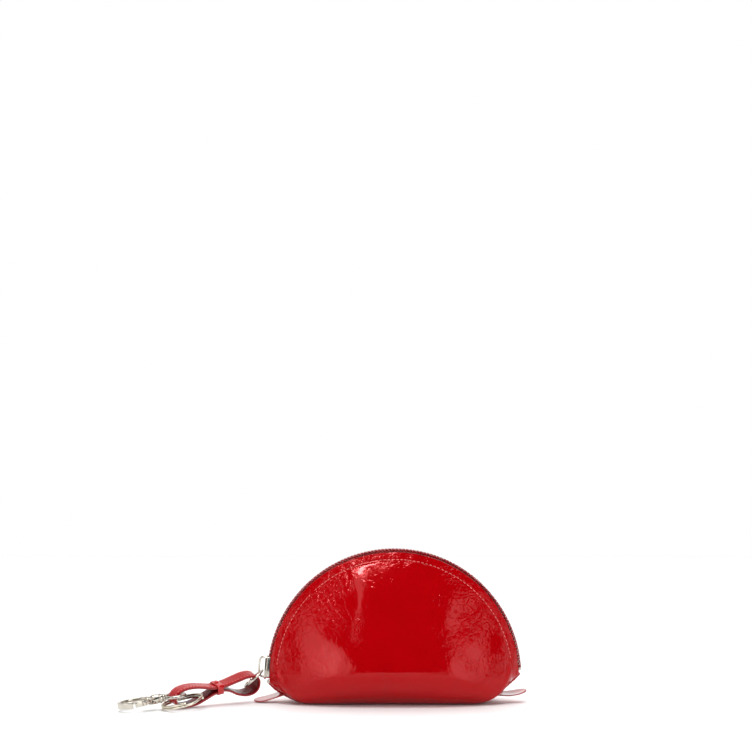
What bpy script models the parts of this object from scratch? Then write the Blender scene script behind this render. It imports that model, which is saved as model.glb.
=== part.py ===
"""Half-moon coin purse in patent leather: a zip over its dome, a boxed base, two base tabs, and a key strap
on the zip's slider that ends in a swivel snap hook and a split key ring.

Metres, +Z up. The origin is on the surface that the purse stands on, under the middle of its base. +X runs
along the base to the right, and -Y is the front. The zip follows a circle about the dome's centre.
"""

import math

import bmesh
import bpy
from mathutils import Matrix, Vector

# Body
DOME_Z = 0.0132  # height of the dome circle's centre
RIM_R = 0.0617  # leather edge along the zip, from the dome's centre
LEATHER = 0.0013
LINING = 0.0004
SKIN_GAP = 0.0004  # between leather and lining, and between leather and tape
ZIP_HALF_GAP = 0.0056  # leather edge to the zip's middle plane
BELLY_Y = 0.0250  # half depth at the crease
CREASE_Z = 0.0180
PANEL_GAP = 0.0003
BASE_HALF_X = 0.0495
BASE_HALF_Y = 0.0200
CORNER_X = 0.0520  # upright corner of the boxed base
EAR_LOW_Z = 0.0026  # the ears flare out from this height up to the ones below
EAR_LEFT_Z = 0.0086
EAR_RIGHT_Z = 0.0145
ZIP_SLOT_LEFT_Z = 0.0082  # bottoms of the slots that the zip's ends run down into
ZIP_SLOT_RIGHT_Z = 0.0146
ZIP_SLOT_HALF_Y = 0.0046
LINING_HALF_X = 0.0560  # the lining stops short of the zip's ends

# Zip, as radii from the dome's centre and angles from +X towards +Z
TEETH_IN_R = 0.0616
TEETH_OUT_R = 0.0636
TEETH_HALF_Y = 0.0022
TEETH_GAP_Y = 0.0002
PARTING = 0.0007  # how far each row is moved aside by the slider's post
TAPE_R = 0.0611
TAPE = 0.0004
TAPE_FLAT_Y = 0.0037
TAPE_DROP = 0.0056
TAPE_SLOPE = 0.36
ZIP_START = math.radians(2.6)
ZIP_END = math.radians(183.4)
SLIDER_ANGLE = math.radians(176.0)
STOP_LENGTH = 0.0016

# Slider: plates over and under the teeth, and a crown that the jump ring hangs in
SLIDER_LENGTH = 0.0120
SLIDER_HALF_Y = 0.0038
TOP_PLATE = (0.0639, 0.0649)
BOTTOM_PLATE = (0.0591, 0.0602)
FLANGE_R = 0.0620
POST_R = 0.0005
CROWN_IN_R = 0.0670
CROWN_OUT_R = 0.0682
CROWN_HALF_LENGTH = 0.0048
CROWN_HALF_Y = 0.0009

# Jump ring: it hangs from the crown, tilted down to the left and towards the front
JUMP_R = 0.0060
JUMP_WIRE_R = 0.0005
JUMP_CENTRE = Vector((-0.0702, -0.0013, 0.0121))
JUMP_NORMAL = Vector((-0.660, -0.047, 0.750)).normalized()
JUMP_DOWN = Vector((-0.730, -0.300, -0.610)).normalized()

# Key strap: a flat band bent into two loops, in its own frame of along, across and up
STRAP_FROM = Vector((-0.0708, -0.0014, 0.0098))
STRAP_ALONG = Vector((-0.828, -0.539, -0.151)).normalized()
STRAP_ROLL = math.radians(18)  # at the jump ring, with the near edge low
STRAP_END_ROLL = math.radians(7)  # at the hook
STRAP_WIDTH = 0.0072
STRAP_LEATHER = 0.0012
STRAP_ROUTE = (  # along and up, going left over the top and back underneath
    (0.0005, 0.0048),
    (0.0050, 0.0054),
    (0.0100, 0.0046),
    (0.0150, 0.0037),
    (0.0195, 0.0033),
    (0.0240, 0.0036),
    (0.0285, 0.0048),
    (0.0335, 0.0060),
    (0.0385, 0.0064),
    (0.0430, 0.0054),
    (0.0456, 0.0026),
    (0.0448, 0.0000),
    (0.0415, -0.0018),
    (0.0375, -0.0025),
    (0.0330, -0.0022),
    (0.0290, -0.0010),
    (0.0240, 0.0006),
    (0.0195, 0.0015),
    (0.0150, 0.0004),
    (0.0100, -0.0026),
    (0.0050, -0.0042),
    (0.0005, -0.0037),
    (-0.0017, -0.0014),
    (-0.0018, 0.0024),
)
ROLL_SIGN = -1
KEEPER_ALONG = 0.0205
KEEPER_LENGTH = 0.0045
KEEPER_WALL = 0.0008

# Split key ring: two turns of wire, lying on the surface with its far side held up by the strap
SPLIT_R = 0.0101
SPLIT_WIRE_R = 0.00052
SPLIT_PITCH = 0.00118
SPLIT_CENTRE = Vector((-0.10364, -0.02913, 0.00399))
SPLIT_NORMAL = Vector((-0.2296, -0.0746, 0.9704)).normalized()

# Snap hook, in its own frame of along, across and up from the face where its swivel eye leaves it
HOOK_FROM = Vector((-0.1138, -0.0289, 0.0057))
HOOK_ALONG = Vector((-0.922, -0.364, -0.130)).normalized()
HUB_LENGTH = 0.0050
HUB_R = 0.0024
BORE_R = 0.0012
SWIVEL_R = 0.0009
LOOP_CENTRE = 0.0135
LOOP_HALF_LENGTH = 0.0080
LOOP_HALF_WIDTH = 0.0056
LOOP_WALL = 0.0017
LOOP_HEIGHT = 0.0032
NOSE_ANGLE = math.radians(72)
GATE_FREE_ANGLE = math.radians(80)
GATE_PIVOT_ANGLE = math.radians(150)
GATE_PIN_R = 0.00045
PIN_CLEARANCE = 0.00012
EYE_HALF_LENGTH = 0.0052
EYE_HALF_WIDTH = 0.0056
EYE_WIRE_R = 0.0008

# Base tabs, as side views of their middle line from the purse outwards
TAB_HALF_WIDTH = 0.0052
TAB_LEATHER = 0.0012
LEFT_TAB = ((-0.0523, 0.0036), (-0.0570, 0.0030), (-0.0615, 0.0020), (-0.0655, 0.0010), (-0.0702, 0.0008))
RIGHT_TAB = ((0.0512, 0.0040), (0.0560, 0.0042), (0.0600, 0.0044), (0.0630, 0.0050), (0.0660, 0.0060))

MATERIALS = {  # colour, roughness, metallic
    "patent_leather": ((0.62, 0.006, 0.010, 1), 0.12, 0.0),
    "leather_edge": ((0.12, 0.010, 0.010, 1), 0.5, 0.0),
    "lining": ((0.05, 0.035, 0.03, 1), 0.85, 0.0),
    "zip_tape": ((0.32, 0.008, 0.012, 1), 0.8, 0.0),
    "zip_teeth": ((0.30, 0.02, 0.02, 1), 0.35, 0.0),
    "nickel": ((0.78, 0.75, 0.70, 1), 0.14, 1.0),
}


def clear_scene():
    for obj in list(bpy.data.objects):
        bpy.data.objects.remove(obj)


def material(name):
    if name in bpy.data.materials:
        return bpy.data.materials[name]
    colour, roughness, metallic = MATERIALS[name]
    made = bpy.data.materials.new(name)
    made.use_nodes = True
    shader = made.node_tree.nodes["Principled BSDF"]
    shader.inputs["Base Color"].default_value = colour
    shader.inputs["Roughness"].default_value = roughness
    shader.inputs["Metallic"].default_value = metallic
    return made


def add_object(name, points, faces, material_name, matrix=None, smooth=True):
    mesh = bpy.data.meshes.new(name)
    mesh.from_pydata([tuple(p) for p in points], [], faces)
    work = bmesh.new()
    work.from_mesh(mesh)
    bmesh.ops.recalc_face_normals(work, faces=work.faces)
    work.to_mesh(mesh)
    work.free()
    if smooth:
        mesh.shade_smooth()
        mesh.set_sharp_from_angle(angle=math.radians(35))
    mesh.materials.append(material(material_name))
    obj = bpy.data.objects.new(name, mesh)
    bpy.context.scene.collection.objects.link(obj)
    if matrix is not None:
        obj.matrix_world = matrix
    return obj


def combine(obj, operation, other):
    """Joins or cuts obj with other, which is then only a helper."""
    modifier = obj.modifiers.new(operation.lower(), "BOOLEAN")
    modifier.operation = operation
    modifier.solver = "EXACT"
    modifier.object = other
    other.hide_render = True
    other.display_type = "WIRE"


def thicken(obj, thickness, offset):
    modifier = obj.modifiers.new("thickness", "SOLIDIFY")
    modifier.thickness = thickness
    modifier.offset = offset
    modifier.use_even_offset = True


def frame(origin, along, across, up):
    """A matrix whose X, Y and Z are these directions."""
    matrix = Matrix((along, across, up)).transposed().to_4x4()
    matrix.translation = origin
    return matrix


def smooth_step(value, low, high):
    t = min(1.0, max(0.0, (value - low) / (high - low)))
    return t * t * (3 - 2 * t)


def spline(points, closed, steps):
    """Points of a Catmull-Rom curve through the given ones, with this many steps on each span."""
    count = len(points)
    made = []
    for i in range(count if closed else count - 1):
        if closed:
            a, b, c, d = (Vector(points[(i + k) % count]) for k in (-1, 0, 1, 2))
        else:
            a, b, c, d = (Vector(points[min(max(i + k, 0), count - 1)]) for k in (-1, 0, 1, 2))
        for step in range(steps):
            t = step / steps
            made.append(
                0.5 * (2 * b + (c - a) * t + (2 * a - 5 * b + 4 * c - d) * t**2 + (3 * b - a - 3 * c + d) * t**3)
            )
    if not closed:
        made.append(Vector(points[-1]))
    return made


def sweep(path, normal, section, closed, scales=None):
    """Points and faces of a section carried along a path. The section's first number is across the path,
    at right angles to normal, and its second is along normal."""
    count, sides = len(path), len(section)
    points, faces = [], []
    for i, p in enumerate(path):
        after = path[(i + 1) % count] if closed else path[min(i + 1, count - 1)]
        before = path[(i - 1) % count] if closed else path[max(i - 1, 0)]
        across = normal.cross(after - before).normalized()
        scale = scales[i] if scales else 1.0
        points += [p + across * a + normal * (b * scale) for a, b in section]
    spans = count if closed else count - 1
    for i in range(spans):
        one, two = i * sides, (i + 1) % count * sides
        for k in range(sides):
            n = (k + 1) % sides
            faces.append((one + k, one + n, two + n, two + k))
    if not closed:
        faces.append(tuple(range(sides)))
        faces.append(tuple(range((count - 1) * sides, count * sides)))
    return points, faces


def rectangle(width, height, centre=(0.0, 0.0)):
    x, y = width / 2, height / 2
    return [(centre[0] + a * x, centre[1] + b * y) for a, b in ((-1, -1), (1, -1), (1, 1), (-1, 1))]


def polygon(radius, sides):
    return [(radius * math.cos(2 * math.pi * k / sides), radius * math.sin(2 * math.pi * k / sides)) for k in range(sides)]


def rod(name, start, end, radius, sides, material_name, matrix=None):
    """A straight round rod between two points."""
    direction = (end - start).normalized()
    side = direction.orthogonal().normalized()
    points, faces = sweep([start, end], side, polygon(radius, sides), False)
    return add_object(name, points, faces, material_name, matrix)


def box(name, centre, size, material_name, matrix=None):
    points = [
        Vector(centre) + Vector((a * size[0] / 2, b * size[1] / 2, c * size[2] / 2))
        for c in (-1, 1)
        for a, b in ((-1, -1), (1, -1), (1, 1), (-1, 1))
    ]
    faces = [(0, 3, 2, 1), (4, 5, 6, 7), (0, 1, 5, 4), (1, 2, 6, 5), (2, 3, 7, 6), (3, 0, 4, 7)]
    return add_object(name, points, faces, material_name, matrix, smooth=False)


# ---------------------------------------------------------------- body


def on_dome(radius, angle, y=0.0):
    return Vector((radius * math.cos(angle), y, DOME_Z + radius * math.sin(angle)))


def panel_depth(x, z):
    """How far the leather lies from the middle plane, above the crease."""
    rho = math.hypot(x, z - DOME_Z) / RIM_R
    rise = (z - DOME_Z) ** 2 / max(1e-12, x * x + (z - DOME_Z) ** 2)
    power = 2.6 * (1 - rise) + 1.5 * rise
    return ZIP_HALF_GAP + (BELLY_Y - ZIP_HALF_GAP) * (1 - min(rho, 1.0) ** power)


def half_dome(low_z, radius, inset, rings, spokes):
    """Points and faces of one panel's surface on the -Y side: a fan from the middle of its lower edge."""
    first = math.asin((low_z - DOME_Z) / radius)
    points = [Vector((0.0, inset - panel_depth(0.0, low_z), low_z))]
    for ring in range(1, rings + 1):
        for spoke in range(spokes + 1):
            edge = on_dome(radius, first + (math.pi - 2 * first) * spoke / spokes)
            x = edge.x * ring / rings
            z = low_z + (edge.z - low_z) * ring / rings
            points.append(Vector((x, inset - panel_depth(x, z), z)))
    faces = [(0, 1 + k, 2 + k) for k in range(spokes)]
    for ring in range(1, rings):
        one, two = 1 + (ring - 1) * (spokes + 1), 1 + ring * (spokes + 1)
        faces += [(one + k, two + k, two + k + 1, one + k + 1) for k in range(spokes)]
    return points, faces


def mirrored(points):
    return [Vector((p.x, -p.y, p.z)) for p in points]


def outward(obj, side):
    """Turns an open sheet's normals to the given side of the middle plane."""
    if sum(p.normal.y * p.area for p in obj.data.polygons) * side < 0:
        obj.data.flip_normals()


def build_panel(name, side, low_z, radius, inset, thickness, material_name):
    points, faces = half_dome(low_z, radius, inset, rings=6, spokes=20)
    obj = add_object(name, points if side < 0 else mirrored(points), faces, material_name)
    outward(obj, side)
    thicken(obj, thickness, -1)
    return obj


def lower_outline():
    """A quarter of the lower body, from the middle of its end to the middle of its long side, as pairs of
    (x, y): at the base and at the crease."""
    pairs = [
        ((BASE_HALF_X, 0.0), (RIM_R - 0.0004, 0.0)),
        ((BASE_HALF_X, 0.0062), (RIM_R - 0.0008, ZIP_HALF_GAP)),
        ((BASE_HALF_X, 0.0118), (0.0572, panel_depth(0.0572, CREASE_Z))),
    ]
    steps = 8
    for k in range(steps + 1):
        x = CORNER_X * math.cos(math.pi / 2 * k / steps)
        rounding = (0.0030, 0.0008)[k] if k < 2 else 0.0
        base = (BASE_HALF_X * x / CORNER_X - rounding / 3, BASE_HALF_Y - rounding)
        pairs.append((base, (x, panel_depth(x, CREASE_Z))))
    return pairs


def lower_rings(inset, floor_z, top_z, widest):
    """Rings of points from the floor up to the crease, moved inwards by inset."""
    quarter = lower_outline()
    last = len(quarter) - 1
    order = [(-1, -1, k) for k in range(last)] + [(1, -1, k) for k in range(last, 0, -1)]
    order += [(1, 1, k) for k in range(last)] + [(-1, 1, k) for k in range(last, 0, -1)]
    rings = []
    for level, share in enumerate((0.0, 0.05, 0.20, 0.36, 0.52, 0.70, 0.86, 1.0)):
        z = floor_z + (top_z - floor_z) * share
        tuck = 0.0008 if level == 0 else 0.0
        swell = math.sin(math.pi / 2 * share)
        height = top_z * share
        left, right = smooth_step(height, EAR_LOW_Z, EAR_LEFT_Z), smooth_step(height, EAR_LOW_Z, EAR_RIGHT_Z)
        ring = []
        for sign_x, sign_y, k in order:
            flare = left if sign_x < 0 else right
            (base_x, base_y), (top_x, top_y) = quarter[k]
            x = base_x + (top_x - base_x) * (flare if k < 4 else swell)
            y = base_y + (top_y - base_y) * (flare if k < 3 else swell)
            x = min(x, widest) * (1 - (inset + tuck) / BASE_HALF_X)
            y = y * (1 - (inset + tuck) / BASE_HALF_Y)
            ring.append(Vector((sign_x * x, sign_y * y, z)))
        rings.append(ring)
    return rings


def build_lower_body(name, inset, thickness, widest, material_name):
    """A tray with an outer and an inner skin, joined along its top edge."""
    top_z = CREASE_Z - PANEL_GAP
    outer = lower_rings(inset, inset, top_z, widest)
    inner = lower_rings(inset + thickness, inset + thickness, top_z, widest)
    rings = outer + inner[::-1]
    count = len(rings[0])
    points = [p for ring in rings for p in ring]
    faces = []
    for level in range(len(rings) - 1):
        one, two = level * count, (level + 1) * count
        for k in range(count):
            n = (k + 1) % count
            faces.append((one + k, one + n, two + n, two + k))
    faces.append(tuple(range(count)))
    faces.append(tuple(range(len(points) - count, len(points))))
    return add_object(name, points, faces, material_name)


def build_body():
    for name, side in (("front_panel", -1), ("back_panel", 1)):
        build_panel(name, side, CREASE_Z + PANEL_GAP, RIM_R, 0.0, LEATHER, "patent_leather")
    base = build_lower_body("base_panel", 0.0, LEATHER, 1.0, "patent_leather")
    for side, low in ((-1, ZIP_SLOT_LEFT_Z), (1, ZIP_SLOT_RIGHT_Z)):
        size = (0.016, 2 * ZIP_SLOT_HALF_Y, 0.030)
        slot = box(f"slot_shape_{side + 1}", (side * 0.0600, 0, low + 0.015), size, "leather_edge")
        combine(base, "DIFFERENCE", slot)
    inset = LEATHER + SKIN_GAP
    for name, side in (("front_lining", -1), ("back_lining", 1)):
        build_panel(name, side, CREASE_Z + 0.0006, RIM_R - 0.0065, inset * 1.25, LINING, "lining")
    build_lower_body("base_lining", inset + 0.0003, LINING, LINING_HALF_X, "lining")


# ---------------------------------------------------------------- zip


def zip_arc(radius, first, last, steps):
    return [on_dome(radius, first + (last - first) * k / steps) for k in range(steps + 1)]


def build_zip_side(label, side):
    """One tape, its teeth and its top stop, on the -Y side for side -1."""
    upright = Vector((0.0, 1.0, 0.0))
    steps = 36
    half = TAPE / 2
    inner_y = TAPE_FLAT_Y + TAPE_SLOPE * TAPE_DROP
    section = [  # the first number is away from the dome's centre
        (half, side * TEETH_GAP_Y),
        (half, side * TAPE_FLAT_Y),
        (half - TAPE_DROP, side * (inner_y + half)),
        (-half - TAPE_DROP, side * (inner_y - half)),
        (-half - 0.0003, side * (TAPE_FLAT_Y - 2 * half)),
        (-half, side * TEETH_GAP_Y),
    ]
    points, faces = sweep(zip_arc(TAPE_R, ZIP_START, ZIP_END, steps), upright, section, False)
    tape = add_object(f"{label}_zip_tape", points, faces, "zip_tape")
    size = (0.014, 2 * (PARTING + TEETH_GAP_Y), 0.008)
    parting = box(f"{label}_parting_shape", (0.0095, 0, TAPE_R), size, "zip_tape", slider_frame())
    combine(tape, "DIFFERENCE", parting)

    middle = (TEETH_IN_R + TEETH_OUT_R) / 2
    height = TEETH_OUT_R - TEETH_IN_R
    width = TEETH_HALF_Y - TEETH_GAP_Y
    centre = (TEETH_HALF_Y + TEETH_GAP_Y) / 2
    first = ZIP_START + 0.026 + 0.0003 / middle
    last = SLIDER_ANGLE + (SLIDER_LENGTH / 2 + 0.0002) / middle
    path = []
    for k in range(49):
        angle = first + (last - first) * (0.94 * k / 40 if k < 40 else 0.94 + 0.0075 * (k - 40))
        parting = PARTING * smooth_step((angle - SLIDER_ANGLE) * middle, -0.0010, 0.0030)
        path.append(on_dome(middle, angle, side * (centre + parting)))
    points, faces = sweep(path, upright, rectangle(height, width), False)
    add_object(f"{label}_zip_teeth", points, faces, "zip_teeth")

    path = [on_dome(middle, last + along / middle, side * (centre + PARTING)) for along in (0.0003, STOP_LENGTH)]
    points, faces = sweep(path, upright, rectangle(height - 0.0002, width), False)
    add_object(f"top_stop_{label}", points, faces, "nickel")


def build_bottom_stop():
    middle = (TEETH_IN_R + TEETH_OUT_R) / 2
    start = ZIP_START + 0.002
    points, faces = sweep(
        zip_arc(middle, start, ZIP_START + 0.026, 2),
        Vector((0.0, 1.0, 0.0)),
        rectangle(TEETH_OUT_R - TEETH_IN_R, 2 * TEETH_HALF_Y),
        False,
    )
    add_object("bottom_stop", points, faces, "nickel")


def slider_frame():
    """X along the travel that closes the zip, Y across, Z away from the dome's centre, from that centre."""
    radial = Vector((math.cos(SLIDER_ANGLE), 0.0, math.sin(SLIDER_ANGLE)))
    travel = Vector((-math.sin(SLIDER_ANGLE), 0.0, math.cos(SLIDER_ANGLE)))
    return frame(Vector((0.0, 0.0, DOME_Z)), travel, radial.cross(travel), radial)


def build_slider():
    place = slider_frame()
    length, width = SLIDER_LENGTH, 2 * SLIDER_HALF_Y
    top_middle, top_thick = sum(TOP_PLATE) / 2, TOP_PLATE[1] - TOP_PLATE[0]
    body = box("slider_body", (0, 0, top_middle), (length, width, top_thick), "nickel", place)
    wall = 0.0006
    for side in (-1, 1):
        flange = box(
            f"flange_shape_{side + 1}",
            (-0.0008, side * (SLIDER_HALF_Y - wall / 2), (FLANGE_R + top_middle) / 2),
            (length - 0.0016, wall, top_middle - FLANGE_R),
            "nickel",
            place,
        )
        combine(body, "UNION", flange)
    post_x = length / 2 - 0.0010
    post = rod(
        "post_shape",
        Vector((post_x, 0, BOTTOM_PLATE[0] + 0.0004)),
        Vector((post_x, 0, top_middle)),
        POST_R,
        8,
        "nickel",
        place,
    )
    combine(body, "UNION", post)
    bottom = box(
        "bottom_plate_shape",
        (0, 0, sum(BOTTOM_PLATE) / 2),
        (length, width - 0.0013, BOTTOM_PLATE[1] - BOTTOM_PLATE[0]),
        "nickel",
        place,
    )
    combine(body, "UNION", bottom)

    bar = CROWN_OUT_R - CROWN_IN_R
    foot = TOP_PLATE[1] + 0.0002
    middle = (CROWN_IN_R + CROWN_OUT_R) / 2
    reach = CROWN_HALF_LENGTH
    route = [
        (-reach, foot),
        (-reach, foot + 0.0008),
        (-reach * 0.86, middle - 0.0006),
        (-reach * 0.55, middle),
        (0.0, middle),
        (reach * 0.55, middle),
        (reach * 0.86, middle - 0.0006),
        (reach, foot + 0.0008),
        (reach, foot),
    ]
    path = [Vector((x, 0.0, z)) for x, z in route]
    points, faces = sweep(path, Vector((0.0, 1.0, 0.0)), rectangle(bar, 2 * CROWN_HALF_Y), False)
    add_object("slider_crown", points, faces, "nickel", place)


# ---------------------------------------------------------------- key strap


def build_jump_ring():
    side = JUMP_NORMAL.cross(JUMP_DOWN).normalized()
    place = frame(JUMP_CENTRE, side.cross(JUMP_NORMAL), side, JUMP_NORMAL)
    path = [Vector((x, y, 0.0)) for x, y in polygon(JUMP_R, 24)]
    points, faces = sweep(path, Vector((0.0, 0.0, 1.0)), polygon(JUMP_WIRE_R, 8), True)
    add_object("jump_ring", points, faces, "nickel", place)


def strap_frame():
    across = STRAP_ALONG.cross(Vector((0.0, 0.0, 1.0))).normalized()
    if across.y > 0:
        across = -across
    return frame(STRAP_FROM, STRAP_ALONG, across, STRAP_ALONG.cross(across))


def roll_strap(points):
    """Rolls points of the strap about its length, less and less towards the hook."""
    length = max(a for a, b in STRAP_ROUTE)
    rolled = []
    for p in points:
        share = min(1.0, max(0.0, p.x / length))
        angle = STRAP_ROLL + (STRAP_END_ROLL - STRAP_ROLL) * share
        rolled.append(Matrix.Rotation(angle * ROLL_SIGN, 3, "X") @ p)
    return rolled


def build_strap():
    place = strap_frame()
    route = [(a, 0.0, b) for a, b in STRAP_ROUTE]
    path = spline(route, True, 3)
    points, faces = sweep(path, Vector((0.0, 1.0, 0.0)), rectangle(STRAP_LEATHER, STRAP_WIDTH), True)
    add_object("strap_band", roll_strap(points), faces, "patent_leather", place)

    near = [p for p in path if abs(p.x - KEEPER_ALONG) < 0.6 * KEEPER_LENGTH]
    gap = STRAP_LEATHER / 2 + 0.0003 + KEEPER_WALL / 2
    high = max(p.z for p in near) + gap
    low = min(p.z for p in near) - gap
    half = STRAP_WIDTH / 2 + 0.0003 + KEEPER_WALL / 2
    middle, rise = (high + low) / 2, (high - low) / 2
    corner = 0.0004
    turn = [(half, rise - corner), (half - corner, rise), (corner - half, rise), (-half, rise - corner)]
    turn += [(-a, -b) for a, b in turn]
    path = [Vector((KEEPER_ALONG, a, middle + b)) for a, b in turn]
    points, faces = sweep(path, Vector((1.0, 0.0, 0.0)), rectangle(KEEPER_WALL, KEEPER_LENGTH), True)
    add_object("strap_keeper", roll_strap(points), faces, "patent_leather", place)


def build_split_ring():
    steps, turns = 20, 1.80
    ahead = Vector((0.0, 1.0, 0.0)).cross(SPLIT_NORMAL).normalized()
    place = frame(SPLIT_CENTRE, ahead, SPLIT_NORMAL.cross(ahead), SPLIT_NORMAL)
    path = []
    for k in range(int(steps * turns) + 1):
        angle = 2 * math.pi * k / steps
        height = SPLIT_PITCH * (smooth_step(k / steps, 0.81, 0.98) - 0.5)
        path.append(Vector((SPLIT_R * math.cos(angle), SPLIT_R * math.sin(angle), height)))
    points, faces = sweep(path, Vector((0.0, 0.0, 1.0)), polygon(SPLIT_WIRE_R, 6), False)
    add_object("split_ring", points, faces, "nickel", place)


# ---------------------------------------------------------------- snap hook


def hook_frame():
    across = Vector((-HOOK_ALONG.y, HOOK_ALONG.x, 0.0)).normalized()
    if across.y > 0:
        across = -across
    return frame(HOOK_FROM, HOOK_ALONG, across, HOOK_ALONG.cross(across))


def loop_point(angle):
    """A point of the hook's oval, from its tip at 0 to its hub at 180 degrees."""
    return Vector(
        (LOOP_CENTRE + LOOP_HALF_LENGTH * math.cos(angle), LOOP_HALF_WIDTH * math.sin(angle), 0.0)
    )


def arc_of_loop(first, last, steps):
    return [loop_point(first + (last - first) * k / steps) for k in range(steps + 1)]


def build_hook():
    place = hook_frame()
    up = Vector((0.0, 0.0, 1.0))
    points, faces = sweep(
        arc_of_loop(math.radians(-182), NOSE_ANGLE, 26), up, rectangle(LOOP_WALL, LOOP_HEIGHT), False
    )
    body = add_object("hook_body", points, faces, "nickel", place)
    hub = rod("hub_shape", Vector((0, 0, 0)), Vector((HUB_LENGTH + 0.0012, 0, 0)), HUB_R, 12, "nickel", place)
    combine(body, "UNION", hub)
    pivot = loop_point(GATE_PIVOT_ANGLE)
    lug_path = [Vector((0.0035, 0.0010, 0)), pivot + Vector((-0.0006, 0.0002, 0)), pivot + Vector((0.0010, 0.0006, 0))]
    points, faces = sweep(lug_path, up, rectangle(0.0022, LOOP_HEIGHT - 0.0001), False)
    lug = add_object("lug_shape", points, faces, "nickel", place)
    combine(body, "UNION", lug)
    slot = box("slot_shape", pivot + Vector((0.0012, 0.0, 0.0)), (0.0042, 0.0050, 0.0017), "nickel", place)
    combine(body, "DIFFERENCE", slot)
    pin_hole = rod(
        "pin_hole_shape", pivot - up * 0.003, pivot + up * 0.003, GATE_PIN_R + PIN_CLEARANCE, 8, "nickel", place
    )
    combine(body, "DIFFERENCE", pin_hole)
    bore = rod(
        "bore_shape", Vector((-0.001, 0, 0)), Vector((HUB_LENGTH + 0.0040, 0, 0)), BORE_R, 12, "nickel", place
    )
    combine(body, "DIFFERENCE", bore)

    path = arc_of_loop(GATE_PIVOT_ANGLE, GATE_FREE_ANGLE, 8)
    heights = [1.0] * 3 + [2.1] * 6
    points, faces = sweep(path, up, rectangle(0.0013, 0.0013), False, heights)
    gate = add_object("gate_lever", points, faces, "nickel", place)
    boss = rod("boss_shape", pivot - up * 0.00064, pivot + up * 0.00064, 0.0009, 10, "nickel", place)
    combine(gate, "UNION", boss)
    thumb_at = loop_point(math.radians(112)) + Vector((0.0, 0.0010, 0.0))
    thumb = rod("thumb_shape", thumb_at - up * 0.0011, thumb_at + up * 0.0011, 0.0009, 8, "nickel", place)
    combine(gate, "UNION", thumb)
    gate_hole = rod(
        "gate_hole_shape", pivot - up * 0.002, pivot + up * 0.002, GATE_PIN_R + PIN_CLEARANCE, 8, "nickel", place
    )
    combine(gate, "DIFFERENCE", gate_hole)
    rod("gate_pin", pivot - up * 0.0018, pivot + up * 0.0018, GATE_PIN_R, 8, "nickel", place)

    leaf = [Vector(p) for p in ((0.0083, 0.0022, 0), (0.0089, 0.0027, 0), (0.0097, 0.0033, 0), (0.0106, 0.0042, 0))]
    points, faces = sweep(leaf, up, rectangle(0.0002, 0.0016), False)
    add_object("gate_spring", points, faces, "nickel", place)

    # the swivel: an eye for the strap, its post through the hub, and the post's head inside the loop
    eye_centre = -EYE_HALF_LENGTH - 0.0014
    oval = [Vector((eye_centre + x * EYE_HALF_LENGTH, y * EYE_HALF_WIDTH, 0)) for x, y in polygon(1.0, 22)]
    points, faces = sweep(oval, up, polygon(EYE_WIRE_R, 8), True)
    eye = add_object("swivel_eye", points, faces, "nickel", place)
    post = rod("swivel_post_shape", Vector((-0.0016, 0, 0)), Vector((0.0068, 0, 0)), SWIVEL_R, 10, "nickel", place)
    combine(eye, "UNION", post)
    collar = rod("collar_shape", Vector((-0.0016, 0, 0)), Vector((-0.0003, 0, 0)), 0.0019, 10, "nickel", place)
    combine(eye, "UNION", collar)
    rod("swivel_head", Vector((0.0071, 0, 0)), Vector((0.0078, 0, 0)), 0.0016, 10, "nickel", place)


# ---------------------------------------------------------------- base tabs


def build_tab(name, side_view):
    path = spline([(x, 0.0, z) for x, z in side_view], False, 3)
    reach = abs(path[-1].x - path[0].x)
    scales = []
    for p in path:
        from_tip = abs(path[-1].x - p.x)
        round_end = min(1.0, (from_tip + 0.0004) / TAB_HALF_WIDTH)
        scales.append(math.sqrt(1 - (1 - round_end) ** 2) * (0.78 + 0.22 * min(1.0, 2 * (1 - from_tip / reach))))
    points, faces = sweep(
        path, Vector((0.0, 1.0, 0.0)), rectangle(TAB_LEATHER, 2 * TAB_HALF_WIDTH), False, scales
    )
    add_object(name, points, faces, "patent_leather")


def main():
    clear_scene()
    build_body()
    build_zip_side("front", -1)
    build_zip_side("back", 1)
    build_bottom_stop()
    build_slider()
    build_jump_ring()
    build_strap()
    build_split_ring()
    build_hook()
    build_tab("left_tab", LEFT_TAB)
    build_tab("right_tab", RIGHT_TAB)


main()
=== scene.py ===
"""Half-moon coin purse in red patent leather, with its zip, key strap, snap hook and split ring.

Metres. The frame's origin is on the floor under the purse's middle, with +X to the right and -Y to the front.
"""

import math

import bmesh
import bpy
import numpy as np
from mathutils import Matrix, Vector, noise


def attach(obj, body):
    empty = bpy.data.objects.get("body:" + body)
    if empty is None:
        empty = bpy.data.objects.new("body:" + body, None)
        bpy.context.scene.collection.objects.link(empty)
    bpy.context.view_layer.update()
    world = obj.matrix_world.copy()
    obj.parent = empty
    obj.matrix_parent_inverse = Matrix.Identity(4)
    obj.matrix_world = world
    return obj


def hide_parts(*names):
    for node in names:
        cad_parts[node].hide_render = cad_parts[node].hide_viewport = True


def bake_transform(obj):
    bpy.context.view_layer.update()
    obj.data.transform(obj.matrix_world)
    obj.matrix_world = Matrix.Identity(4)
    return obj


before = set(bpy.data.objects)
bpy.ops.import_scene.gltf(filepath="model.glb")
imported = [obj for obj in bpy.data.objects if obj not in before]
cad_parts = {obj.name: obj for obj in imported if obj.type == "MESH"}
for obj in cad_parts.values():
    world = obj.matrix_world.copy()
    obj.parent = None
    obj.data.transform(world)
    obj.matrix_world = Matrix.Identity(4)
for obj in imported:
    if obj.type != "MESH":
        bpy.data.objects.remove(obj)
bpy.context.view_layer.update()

MM = 0.001

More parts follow.
